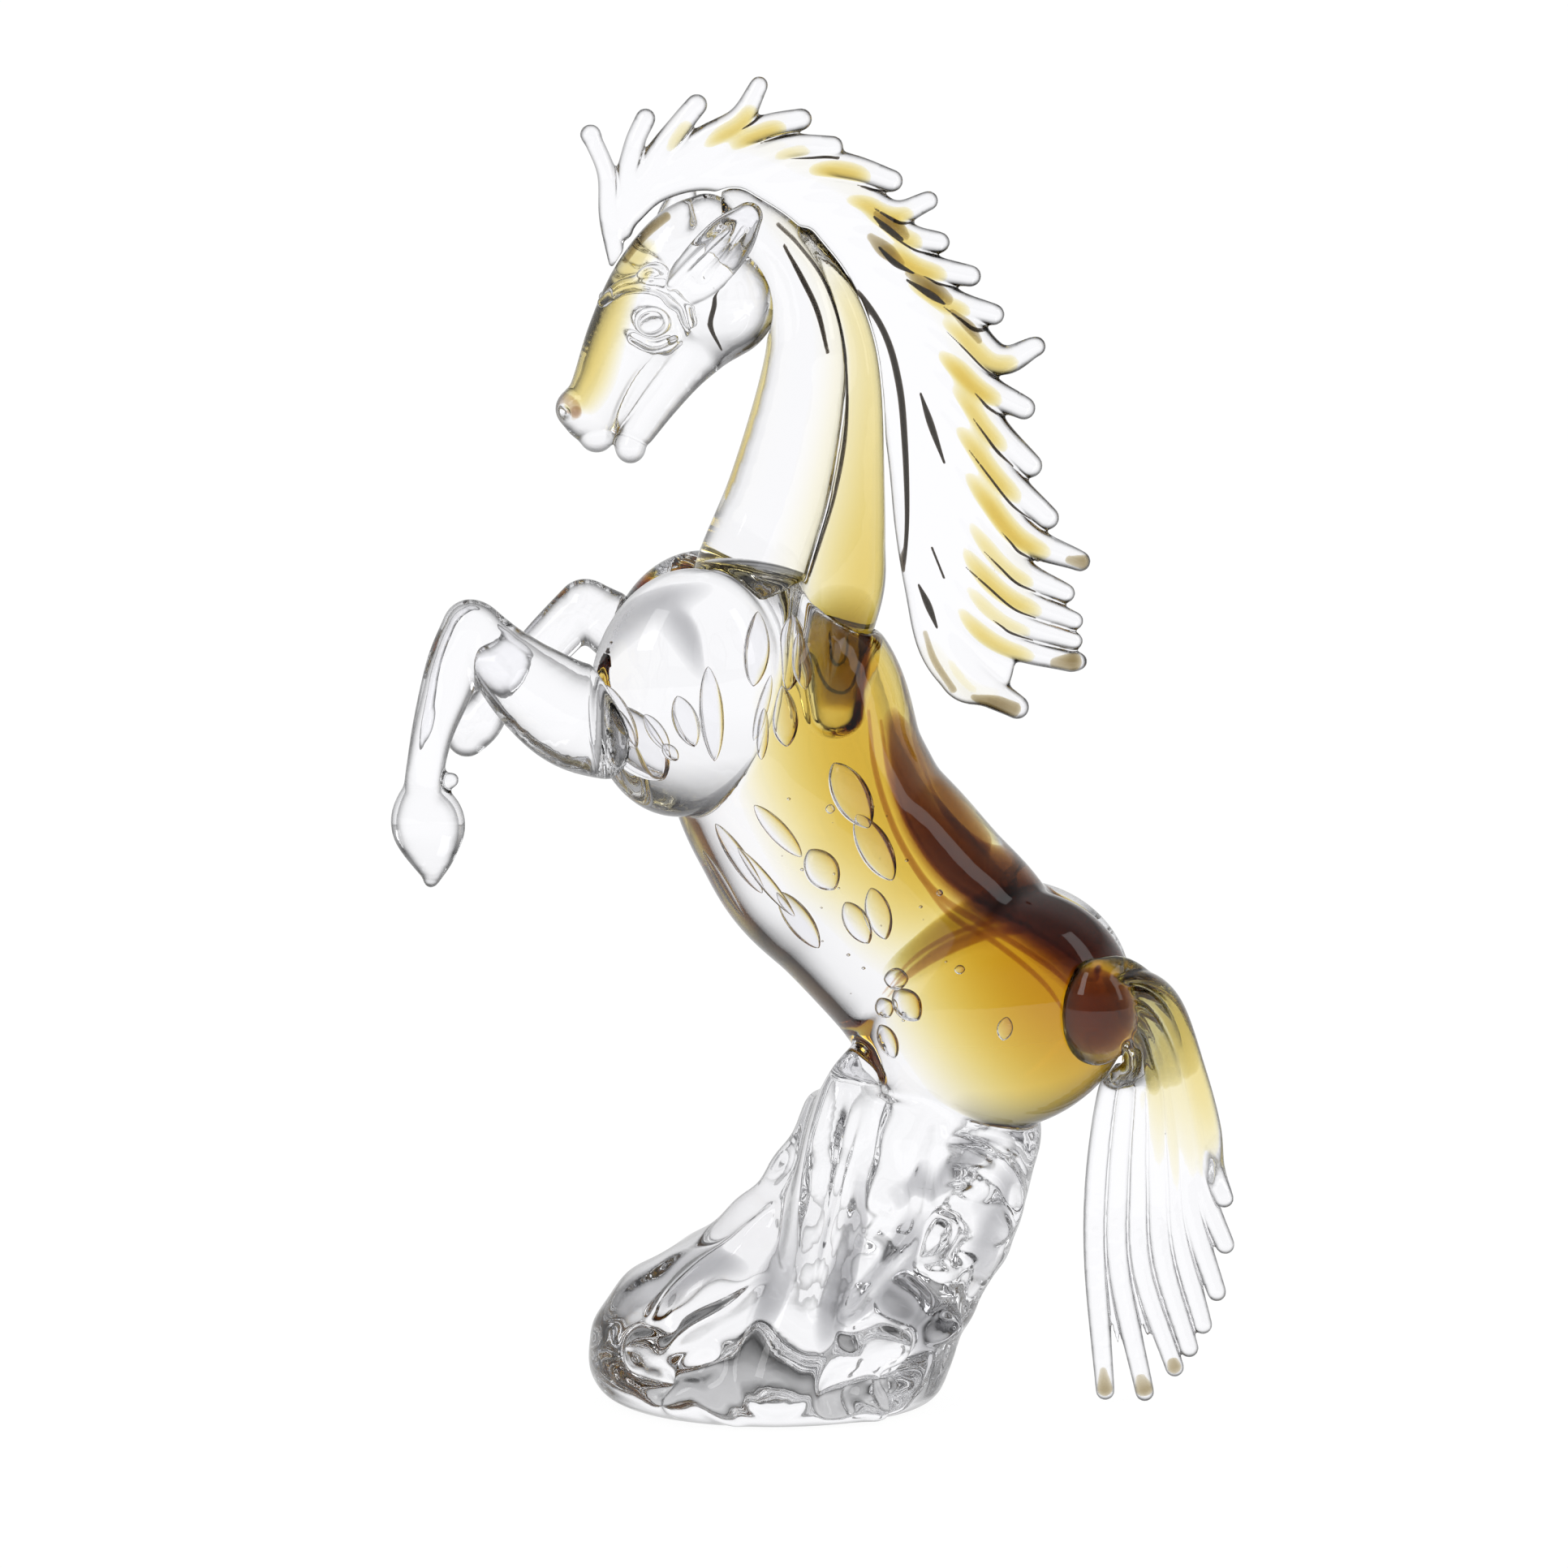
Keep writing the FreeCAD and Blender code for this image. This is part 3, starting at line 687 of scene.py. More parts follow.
MANE_SHEET = [
    (-46, 349, 5, 2.3), (-36, 359, 6, 2.4), (-20, 363.5, 7, 2.5), (-3, 359.5, 9, 2.6), (12, 350, 11, 2.7),
    (25, 335, 12.5, 2.8), (36, 318, 13.5, 2.9), (43, 300, 14.5, 3), (48, 280, 16.5, 3), (52, 260, 18.5, 3),
    (55, 242, 18.5, 2.9), (55, 228, 15.5, 2.7), (57, 218, 11.5, 2.4),
]
# Each mane lock: its route of (x, z) from crest to tip, then the half widths of its body and its tip.
LOCKS = [
    ((-47, 336), (-49, 349), (-50, 362), (-54.5, 373), 3.2, 2.7),
    ((-45, 345), (-44, 359), (-42, 370), (-38.6, 377.6), 3.4, 3),
    ((-42, 356), (-35, 367), (-28.5, 376), (-23.8, 381.6), 3.9, 3.2),
    ((-34, 362), (-22, 371), (-11.5, 377.5), (-5.8, 387.2), 4.2, 2.7),
    ((-26, 363), (-14, 371), (-3, 375.4), (6.4, 377.4), 4.2, 3.2),
    ((-16, 363), (-4, 367.5), (6, 369.6), (15.5, 369.6), 4, 3.1),
    ((-4, 361), (9, 364.8), (21, 363.4), (32.6, 359.6), 4.6, 3.3),
    ((6, 356), (20, 356.6), (33, 350.4), (43.2, 353.8), 4.3, 2.9),
    ((14, 352), (27, 352), (37, 344), (46.4, 341.8), 4.4, 3.1),
    ((18, 345), (30, 342), (42, 335), (55.4, 332), 4.8, 3.2),
    ((25, 337), (38, 332), (50, 324.5), (62.2, 320.8), 4.8, 3.2),
    ((31, 328), (48, 322), (63, 308), (74.4, 311.6), 5.4, 3),
    ((36, 320), (48, 311), (59, 300), (71, 293.6), 5.4, 3.5),
    ((38, 311), (52, 302), (62, 287.5), (73, 276.8), 5.6, 3.6),
    ((40, 302), (53, 290), (65, 273.6), (78, 261.6), 5.6, 3.5),
    ((42, 293), (56, 275), (71, 256.5), (87.6, 248.8), 5.6, 3.1),
    ((43, 284), (55, 262), (69, 246.5), (83.4, 239.4), 5.2, 2.9),
    ((43, 275), (54, 252), (69, 238.5), (86, 231.4), 5, 2.7),
    ((43, 265), (53, 244), (68, 231.5), (86, 225.4), 4.8, 2.6),
    ((43, 255), (52, 235), (67, 224.5), (85, 219), 4.8, 2.9),
    ((43, 244), (48, 226), (57, 214), (69.4, 206), 6.4, 3.6),
]
# Painted shade in the slits between the locks, as dark lines: routes of (x, z).
SLITS = [
    [(5.8, 345), (20, 331), (30, 316.6), (34.7, 301), (36.5, 283), (37.2, 262.6), (36.6, 246)],
    [(41, 298), (44, 289), (48, 277.6)], [(44.4, 253), (48, 244)], [(40.6, 242), (43.4, 236), (46, 229.4)],
    [(27.6, 349.5), (31.5, 346), (36, 343)], [(29, 340.5), (33.5, 336), (39, 333)],
    [(37, 331), (44, 326.6), (48, 324)],
]
# Dark lines of painted shade down the neck and head: routes of (x, z).
NECK_LINES = [
    [(-1, 347), (6, 340), (13, 330), (18, 315), (19.9, 298), (19.6, 284), (16.8, 268), (12, 252),
     (9.5, 245)],
    [(1, 341), (6, 332), (10.5, 322), (13.2, 310)],
]
HEAD_LINES = [[(-20, 331), (-18.6, 325), (-19.6, 319), (-17, 312)]]
LOBE_SWIRLS = [
    [(9, 233), (9, 222), (12.4, 212), (17.5, 210.6), (21, 218), (21.6, 230)],
    [(13, 227), (14, 218.6), (17, 219), (18, 227)],
]
# Each tail lock: its route of (x, z) from the root to the tip.
TAIL_LOCKS = [
    ((101, 110), (96.5, 92), (93.6, 66), (93.2, 40), (96, 3.6)),
    ((103, 111), (101.5, 92), (99.6, 66), (99.8, 40), (107.6, 3.4)),
    ((104.5, 112), (106, 92), (105.6, 66), (106.6, 40), (116.4, 10.6)),
    ((106, 112.5), (110, 92), (111.2, 66), (113, 42), (120.6, 16.6)),
    ((107.5, 113), (113.2, 94), (116, 70), (118, 48), (124.6, 23.4)),
    ((109, 114), (116.4, 95), (120, 74), (122, 54), (128.6, 33.4)),
    ((110.5, 114.6), (119.4, 97), (123.4, 78), (125.4, 61), (131, 47.4)),
    ((112, 115), (121.8, 99), (126, 82), (127.4, 70), (130.6, 61.4)),
]
TAIL_WIDTHS = (1.9, 2.2, 2.6, 3.3, 3.7, 3.5, 2.8)
TAIL_DEPTHS = (4, 5.6, 5.6, 4.2, 3.6, 3.4, 2.8)
TAIL_DRIFT = (-27, -21.5, -11.5, -4, -2, -4, -7)


def lock_tips(route, widths, depths, lean=0.0):
    """Stations for a pulled lock, from its route, its half widths and depths, and how far its tip leans."""
    last = len(route) - 1
    return [(x, z, wide, deep, lean * k / last)
            for k, ((x, z), wide, deep) in enumerate(zip(route, widths, depths))]


def mane():
    """The combed sheet along the crest and the locks pulled from it."""
    mould = Mould((-64, -12, 192), (98, 12, 398), LOCK_STEP)
    mould.add(Slab(MANE_SHEET))
    for number, (root, body, bend, tip, half, tip_half) in enumerate(LOCKS):
        lean = 0.5 * math.sin(2.1 * number)
        widths = (half * 0.8, half, half * 0.86, tip_half)
        depths = (1.9, 3.0, 3.8, tip_half * 0.95)
        mould.add(Sweep(lock_tips((root, body, bend, tip), widths, depths, lean)), 1.2)
    mould.add(Ball((86.7, 0, 219.4), (3.2, 3, 2.8)), 1)
    mould.add(Ball((-54.5, 0, 373), (3, 2.9, 2.8)), 1)
    for shape in (Sweep(NECK), Sweep(CREST), Sweep(TRUNK), *head_shapes(), *ear_shapes()):
        mould.carve(Grown(shape, 1.5 * GAP))
    return [mould.skin(3)]


def thread(route, least, swell, deep, y=0):
    """A fine line of glass along (x, z) points, widest in the middle."""
    last = len(route) - 1
    return Sweep([(x, z, least + swell * math.sin(math.pi * k / last), deep, y)
                  for k, (x, z) in enumerate(route)])


def dark_shade_lines():
    """Fine dark lines of painted shade in the slits between the strands of the mane and down the neck and
    head, with dark swirls in the lobe.
    """
    streaks = [thread(route, 0.35, 0.7, 2.2) for route in SLITS]
    for number in range(3, len(LOCKS) - 2):
        upper, lower = (np.array(lock[1:4]) for lock in LOCKS[number:number + 2])
        inner, bend, outer = (upper + lower) / 2
        start = bend + (inner - bend) * (0.35 + 0.3 * (number % 3))
        end = bend + (outer - bend) * 0.35
        streaks.append(Sweep([(*start, 0.2, 1.2), (*((start + bend) / 2), 0.4, 2), (*bend, 0.5, 2.2),
                              (*end, 0.35, 1.6)]))
    streaks += [thread(route, 0.2, 0.3, 1.4, -5) for route in LOBE_SWIRLS]
    streaks += [thread(route, 0.3, 0.4, 2.2, -4) for route in (*NECK_LINES, *HEAD_LINES)]
    return streaks


def tail_route(number):
    """A tail strand's points: out of the croup, over the arch, and down to its tip."""
    share = number / (len(TAIL_LOCKS) - 1)
    bow = share * share
    arch = [(102 - 8 * share, 108 + 21.5 * share), (102 + 4 * share, 103.5 + 19 * share + 7 * bow),
            (99 + 21 * share - 4.8 * bow, 98 + 4 * share + 18 * bow)]
    return arch + list(TAIL_LOCKS[number][1:])


def tail_strand(number, widths, depths, last=7):
    """A tail strand's first stations, as many as last says."""
    rows = zip(tail_route(number)[:last], widths, depths, TAIL_DRIFT)
    return [(x, z, wide, deep, drift + 0.4 * (-1) ** number) for (x, z), wide, deep, drift in rows]


def tail():
    """A boss on the croup, an arch over it, then eight strands side by side that part at their tips."""
    mould = Mould((76, -40, -4), (142, 14, 142), LOCK_STEP)
    mould.add(Ball(*TAIL_BOSS))
    mould.add(Sweep(TAIL_ARCH), 1)
    mould.add(Ball((99.4, -9, 98.5), (3.6, 3.4, 5), 80), 0.8)
    for number in range(len(TAIL_LOCKS)):
        mould.add(Sweep(tail_strand(number, TAIL_WIDTHS, TAIL_DEPTHS)), 0.3)
    for number in range(len(TAIL_LOCKS) - 1):
        left, right = (np.array(tail_strand(number + k, TAIL_WIDTHS, TAIL_DEPTHS)) for k in (0, 1))
        web = (left + right) / 2
        web[-1] = 0.4 * web[-2] + 0.6 * web[-1]
        web[:, 2] = 1.4
        web[:, 3] *= 0.5
        web[-1, 2:4] = 0.5, 0.8
        mould.add(Sweep([tuple(row) for row in web[3:]]), 0.3)
    for shape in (beside(HAUNCH, -1), beside(HAUNCH, 1), Sweep(TRUNK)):
        mould.carve(Grown(shape, GAP), 0.4)
    return [mould.skin(5, 1)]


# ---------------------------------------------------------------- amber inside the glass, and volumes of painted shade

LEAST_THICK = 0.05
RIM_LEVEL = 0.92


def soft(value):
    """0 to 1, easing in and out."""
    value = np.clip(value, 0, 1)
    return value * value * (3 - 2 * value)


class Leaf(Sweep):
    """A core that swells from nothing at its front edge to its peak and rounds off at its rear."""

    def __init__(self, stations, front, peak, rear, fill, start, end):
        super().__init__(stations)
        self.front, self.peak, self.rear, self.fill = front, peak, rear, fill
        self.start, self.end = start, end

    def distance(self, x, y, z):
        offset, across, deep, middle, place, side = self.nearest(x, z)
        back = -offset * side
        rise = soft((back - self.front) / (self.peak - self.front))
        fall = np.maximum((back - self.peak) / (self.rear - self.peak), 0)
        ends = soft(place / self.start) * soft((1.0 - place) / self.end)
        thick = np.maximum(deep * self.fill * rise * ends, LEAST_THICK)
        scale = np.minimum(thick, across * abs(self.rear - self.peak))
        return (np.hypot((y - middle) / thick, fall) - 1) * scale + GAP


class Heart(Ball):
    """A core inside a ball of glass, filling one side and thinning away to the other, along a heading."""

    def __init__(self, centre, half, lean, heading, start, end, fill):
        super().__init__(centre, half, lean)
        self.heading, self.start, self.end, self.fill = math.radians(heading), start, end, fill

    def distance(self, x, y, z):
        dx, dy, dz = x - self.centre[0], y - self.centre[1], z - self.centre[2]
        along = (dx * math.cos(self.lean) + dz * math.sin(self.lean)) / self.half[0]
        up = (-dx * math.sin(self.lean) + dz * math.cos(self.lean)) / self.half[2]
        reach = (dx * math.cos(self.heading) + dz * math.sin(self.heading)) / self.half[0]
        level = (along * along + up * up) / RIM_LEVEL
        swell = soft((reach - self.start) / (self.end - self.start))
        thick = np.maximum(self.fill * self.half[1] * swell, LEAST_THICK)
        return (np.sqrt((dy / thick) ** 2 + level) - 1) * thick + GAP


class Within:
    """The part of a shape that lies inside another, at least a margin below its skin."""

    def __init__(self, shape, skin, margin):
        self.shape, self.skin, self.margin = shape, skin, margin

    def box(self):
        return self.shape.box()

    def distance(self, x, y, z):
        return np.maximum(self.shape.distance(x, y, z), self.skin.distance(x, y, z) + self.margin)


def core(low, high, *shapes):
    """The skin of soft shapes melted together in a block."""
    mould = Mould(low, high, CORE_STEP, 4)
    for shape in shapes:
        mould.add(shape, 0.3)
    return [mould.skin(8, 3)]


def fine_core(low, high, *shapes):
    """The skin of thin shapes, sharp and on a finer grid."""
    mould = Mould(low, high, FINE_CORE_STEP)
    for shape in shapes:
        mould.add(shape)
    return [mould.skin(1, 0)]


SPINE = [(28, 206, 2.2, 8), (29.5, 193, 3.6, 11), (33, 179, 4.8, 13), (40, 167, 6, 14), (50, 156, 7.4, 15),
         (62, 147, 9.5, 16), (74, 140, 11, 16), (84, 132, 11.5, 14), (92, 123, 10, 12)]
REAR_STRAND = [(35.4, 203, 1.5, 4), (39, 190.4, 2.4, 6), (46.4, 175, 2.8, 7), (56.6, 162.4, 2, 5)]
# Olive amber below the crease between trunk and haunch, laid darker there as painted shade under the
# crease: stations (x, z, across, deep).
FLANK = [(33, 127, 5, 8), (42, 133, 8, 12), (55, 139, 10, 14), (72, 141, 11, 14)]
MANE_BAND = [(-20, 368, 4, 2.2), (-8, 369.5, 5, 2.4), (7, 363.5, 5, 2.4), (21, 356, 5, 2.4),
             (32, 343, 5, 2.4),
             (40, 330, 5, 2.4), (48.6, 317.4, 5, 2.4), (55, 303, 5, 2.4), (59.6, 287, 5, 2.4),
             (62.6, 271, 5, 2.4),
             (67, 255, 5, 2.4), (70, 242, 5, 2.4), (71.6, 232, 4, 2.2)]
MANE_HEM = [(42, 226, 4, 2.2), (48, 217, 5, 2.4), (56, 210, 5, 2.4), (65, 207.5, 4, 2.4)]
LOBE = [(14, 205.5, 6, 7), (14.5, 215, 8.2, 8.6), (16, 228, 9.6, 9.8), (18, 238, 8, 8), (19.5, 248, 4, 4)]
TAIL_TIPS = [[(95.4, 10, 0.8, 0.8, -6.4), (95.9, 4.2, 1.8, 1.8, -7)],
             [(106.4, 8, 0.8, 0.8, -6.2), (107.5, 4.2, 1.8, 1.8, -7)],
             [(115.8, 12.4, 1.3, 1.3, -6.8), (116.3, 10.8, 1.6, 1.6, -7)]]
CROUP_STRANDS = [
    [(25, 207, 0.5, 1.2, -19), (27, 190, 0.9, 1.6, -22), (33, 172, 1, 1.8, -23), (44, 155, 1.1, 1.8, -23),
     (60, 144, 1, 1.8, -24),
     (78, 132, 0.8, 1.6, -24), (86, 124, 0.4, 1, -23)],
    [(28.6, 204, 0.5, 1.2, -18), (31, 188, 0.8, 1.6, -20), (37.6, 172, 1, 1.8, -21), (48, 158, 1, 1.8, -21),
     (64, 147.6, 1, 1.8, -21),
     (82, 136, 0.7, 1.4, -20), (92, 126, 0.4, 1, -18)],
    [(38, 162, 0.4, 1, -24), (49, 148, 0.9, 1.6, -24), (63, 139, 0.9, 1.6, -25), (76, 128, 0.8, 1.4, -25),
     (83, 118, 0.4, 1, -24)],
    [(66, 142, 0.9, 1.4, -24), (56, 139.6, 1, 1.6, -25), (44, 134.4, 0.8, 1.4, -25),
     (35, 127.6, 0.3, 0.8, -24)],
    [(62, 145, 0.9, 1.4, -22), (50, 142, 0.9, 1.6, -23), (39, 135.4, 0.7, 1.2, -23),
     (30.5, 125, 0.3, 0.8, -22)],
    [(70, 142, 1.2, 1.6, -22), (59, 141.6, 1.6, 1.8, -23), (48, 138.4, 1.4, 1.8, -23),
     (38, 131.4, 0.9, 1.4, -23), (32, 124, 0.3, 0.8, -22)],
]
# Grey painted shade in the shoulder glass: a patch over the shoulder and its tail below, stations (x, z,
# across, deep, y).
SHADE = [(-50, 215, 2, 2, -17), (-47, 223, 4.5, 4, -17), (-40, 231, 6, 5, -17), (-29, 237, 5, 5, -17),
         (-14, 241, 2, 2, -15)]
SHADE_TAIL = [(-35, 236, 4, 4, -17), (-29, 230, 5.4, 5, -18), (-25, 221, 3.4, 4, -19),
              (-21, 211, 1.2, 1.4, -19)]
# Grey painted shade in the rock: bands over the dome, down the leg and along the folds, stations (x, z,
# across, deep, y).
ROCK_SHADES = [
    [(-50, 14, 4, 8, -8), (-45, 27, 6, 10, -10), (-33, 36, 7, 10, -12), (-18, 41, 6, 8, -14),
     (-6, 38, 3, 6, -16)],
    [(12, 98, 2, 4, -14), (9, 78, 4, 6, -18), (5, 58, 6, 8, -20), (-2, 36, 7, 8, -24), (-8, 18, 5, 6, -26)],
    [(24, 74, 2, 4, -14), (21, 54, 4, 6, -18), (15, 36, 6, 8, -22), (8, 16, 5, 6, -26)],
    [(66, 80, 2, 5, -6), (54, 76, 4, 6, -10), (42, 68, 4.6, 6, -12), (30, 62, 4, 5, -14)],
    [(40, 62, 2.4, 5, -12), (35, 46, 5, 6, -14), (25, 36, 5, 6, -18), (14, 26, 4, 5, -22)],
    [(24, 36, 5, 6, -16), (34, 30, 8, 8, -16), (44, 20, 8, 8, -16), (36, 10, 6, 6, -20)],
    [(66, 76, 2.4, 5, -4), (62, 62, 5, 6, -6), (58, 46, 5, 6, -8), (54, 30, 3, 5, -8)],
]
# Grey painted shade at the collar above the shoulder and in the crease under the breast, stations (x, z,
# across, deep, y).
COLLAR_SHADE = [(-30, 243, 2, 4, -14), (-20, 246, 3.6, 5, -12), (-8, 243, 4, 5, -10), (3, 235, 3.4, 4, -10),
                (8, 226, 2, 3, -10)]
BREAST_SHADE = [(-33, 185, 1.6, 3, -12), (-24, 182.4, 3, 5, -14), (-15, 188.4, 2.8, 5, -15),
                (-8, 197.4, 1.2, 3, -15)]
POCKETS = [
    [(-43, 335.4, 0.8, 1.2), (-38.2, 342.6, 1.6, 1.8), (-31.6, 348, 1.2, 1.6)],
    [(26.5, 343.4, 1.2, 1), (31, 339.4, 2.4, 2), (35.4, 336, 1.2, 1)],
    [(28, 350.4, 0.8, 1), (33, 347, 1.8, 1.8), (37, 343.6, 0.8, 1)],
    [(37.5, 333, 1.2, 1), (44, 328.4, 2.4, 2), (49, 325, 1.4, 1)],
    [(50, 322, 0.8, 1), (54.6, 317.6, 1.5, 1.6), (58, 313, 0.8, 1)],
    [(57, 209.4, 1, 1.2), (63, 207.6, 2, 2), (68.6, 205.6, 1.6, 1.6)],
    [(80, 219.4, 1.2, 1), (85.6, 219.4, 2.2, 2)], [(84, 249.6, 0.9, 1), (88.4, 248.6, 1.6, 1.6)],
    [(42.6, 228, 0.8, 0.8), (45.4, 220, 1.1, 1.2), (51, 211.4, 1.1, 1.2)],
]
NOSE = [(-34, 342, 3, 4), (-42, 331, 5, 5.4), (-48.5, 315, 7, 6.4), (-53.5, 302, 8, 6.6),
        (-58, 293, 5.4, 5.4)]


# How much amber each mane lock holds, from the forelock down.
LOCK_TINTS = (0, 0.2, 0.5, 1, 1.2, 0.5, 1.2, 1.1, 1, 1.2, 0.9, 0.8, 1.1, 0.8, 0.9, 1.1, 0.6, 0.9, 0.5, 0.8,
              0.3)


def mane_streaks():
    """One soft amber streak in each lock that holds any, deepest along its lower edge."""
    streaks = []
    for (root, body, bend, tip, half, tip_half), tint in zip(LOCKS, LOCK_TINTS):
        if tint:
            deep = min(2.5 * tint, 3)
            route = [tuple(np.add(np.multiply(a, 1 - share), np.multiply(b, share)))
                     for a, b, share in ((root, body, 0.6), (body, bend, 0.35), (body, bend, 1),
                                         (bend, tip, 0.75))]
            stations = lock_tips(route, (half * 0.5, half * 0.8, half * 0.8, tip_half * 0.8), (deep,) * 4)
            streaks.append(Leaf(stations, 0.45, -0.45, -0.95, 1, 0.45, 0.3))
    return core(*MANE_BLOCK, *streaks)


# How much amber each tail strand holds.
TAIL_TINTS = (0, 0.2, 0.5, 0.9, 0.7, 0.7, 1, 1.3)


def tail_streaks():
    """One soft amber streak in each tail strand that holds any."""
    streaks = []
    for number, tint in enumerate(TAIL_TINTS):
        if tint:
            widths = (1.5, 1.8, 2.2, 2.6, 2.8, 2.6, 2.0)
            stations = tail_strand(number, widths, (2.4 * tint,) * 7, 6 + number // 4)
            streaks.append(Leaf(stations, -0.95, 0.2, 0.95, 1, 0.1, 0.6))
    return core((80, -38, -2), (142, 12, 138), *streaks)


LOCK_NODES = [f"mane_lock_{k:02d}" for k in range(1, 22)]
TAIL_NODES = [f"tail_lock_{k:02d}" for k in range(1, 9)]
GOLD = (0.88, 0.74, 0.01, 1)
OLIVE = (0.66, 0.58, 0.02, 1)
BROWN = (0.55, 0.30, 0.02, 1)
RUST = (0.6, 0.28, 0.02, 1)
UMBER = (0.5, 0.38, 0.06, 1)
# Dark grey-brown for the painted shade lines.
SHADE_LINE_COLOUR = (0.34, 0.30, 0.25, 1)
# Grey for the painted shade in the shoulder and the rock.
PAINTED_SHADE_GREY = (0.4, 0.4, 0.42, 1)


BODY_NODES = ("body_casing", "left_shoulder", "right_shoulder", "base_rock", "left_hind_leg",
              "right_hind_leg")
TRUNK_BLOCK = ((-56, -34, 74), (112, 34, 262))
NECK_BLOCK = ((-40, -20, 186), (50, 20, 352))
FACE_BLOCK = ((-72, -12, 276), (-20, 12, 358))
MANE_BLOCK = ((-64, -8, 196), (98, 8, 396))
SHADE_LINE_BLOCK = ((-44, -9, 194), (98, 8, 396))
ROCK_BLOCK = ((-62, -46, 4), (84, 20, 104))
TIPS_BLOCK = ((80, -28, -2), (142, 12, 30))
BOSS_BLOCK = ((74, -38, 86), (128, 18, 144))
ROCK_MARGIN = 3.5
STRAND_SHARE = 0.82


def build_clear():
    """The clear glass, which stands for nearly every CAD node."""
    thick, thin = clear_glass("clear_glass", THICK_PAINTED_EDGE_SHADES), clear_glass("thin_glass", THIN_PAINTED_EDGE_SHADES)
    left_leg = (Sweep(LEFT_FOREARM), Sweep(LEFT_CANNON), Ball((-95.4, -22, 187.5), (3, 2.6, 2.4), 20))
    right_leg = (Sweep(RIGHT_FOREARM), Sweep(RIGHT_CANNON), Ball((-94.5, 22, 197), (6.2, 6.4, 5.6), 8),
                 Ball((-84.5, 21, 203.5), (3, 2.6, 2.4), 20))
    for name, skins, material, nodes in (
            ("body_glass", body(), thick, BODY_NODES),
            ("neck_glass", neck(), thick, ("neck_casing",)),
            ("left_foreleg_glass", foreleg(-1, *left_leg), thin, ("left_foreleg",)),
            ("right_foreleg_glass", foreleg(1, *right_leg), thin, ("right_foreleg",)),
            ("head_glass", head(), thin, ("head", "left_ear", "right_ear")),
            ("mane_glass", mane(), thin, ("mane_sheet", *LOCK_NODES)),
            ("tail_glass", tail(), thin, ("tail_root", *TAIL_NODES))):
        make_piece(name, skins, material, nodes)


def tinted(name, density, colour, skins, nodes=()):
    """A tinted core: absorption density per metre, and the colour that it lets through."""
    make_piece(name, skins, amber_and_shade_core(name, density, colour), nodes)


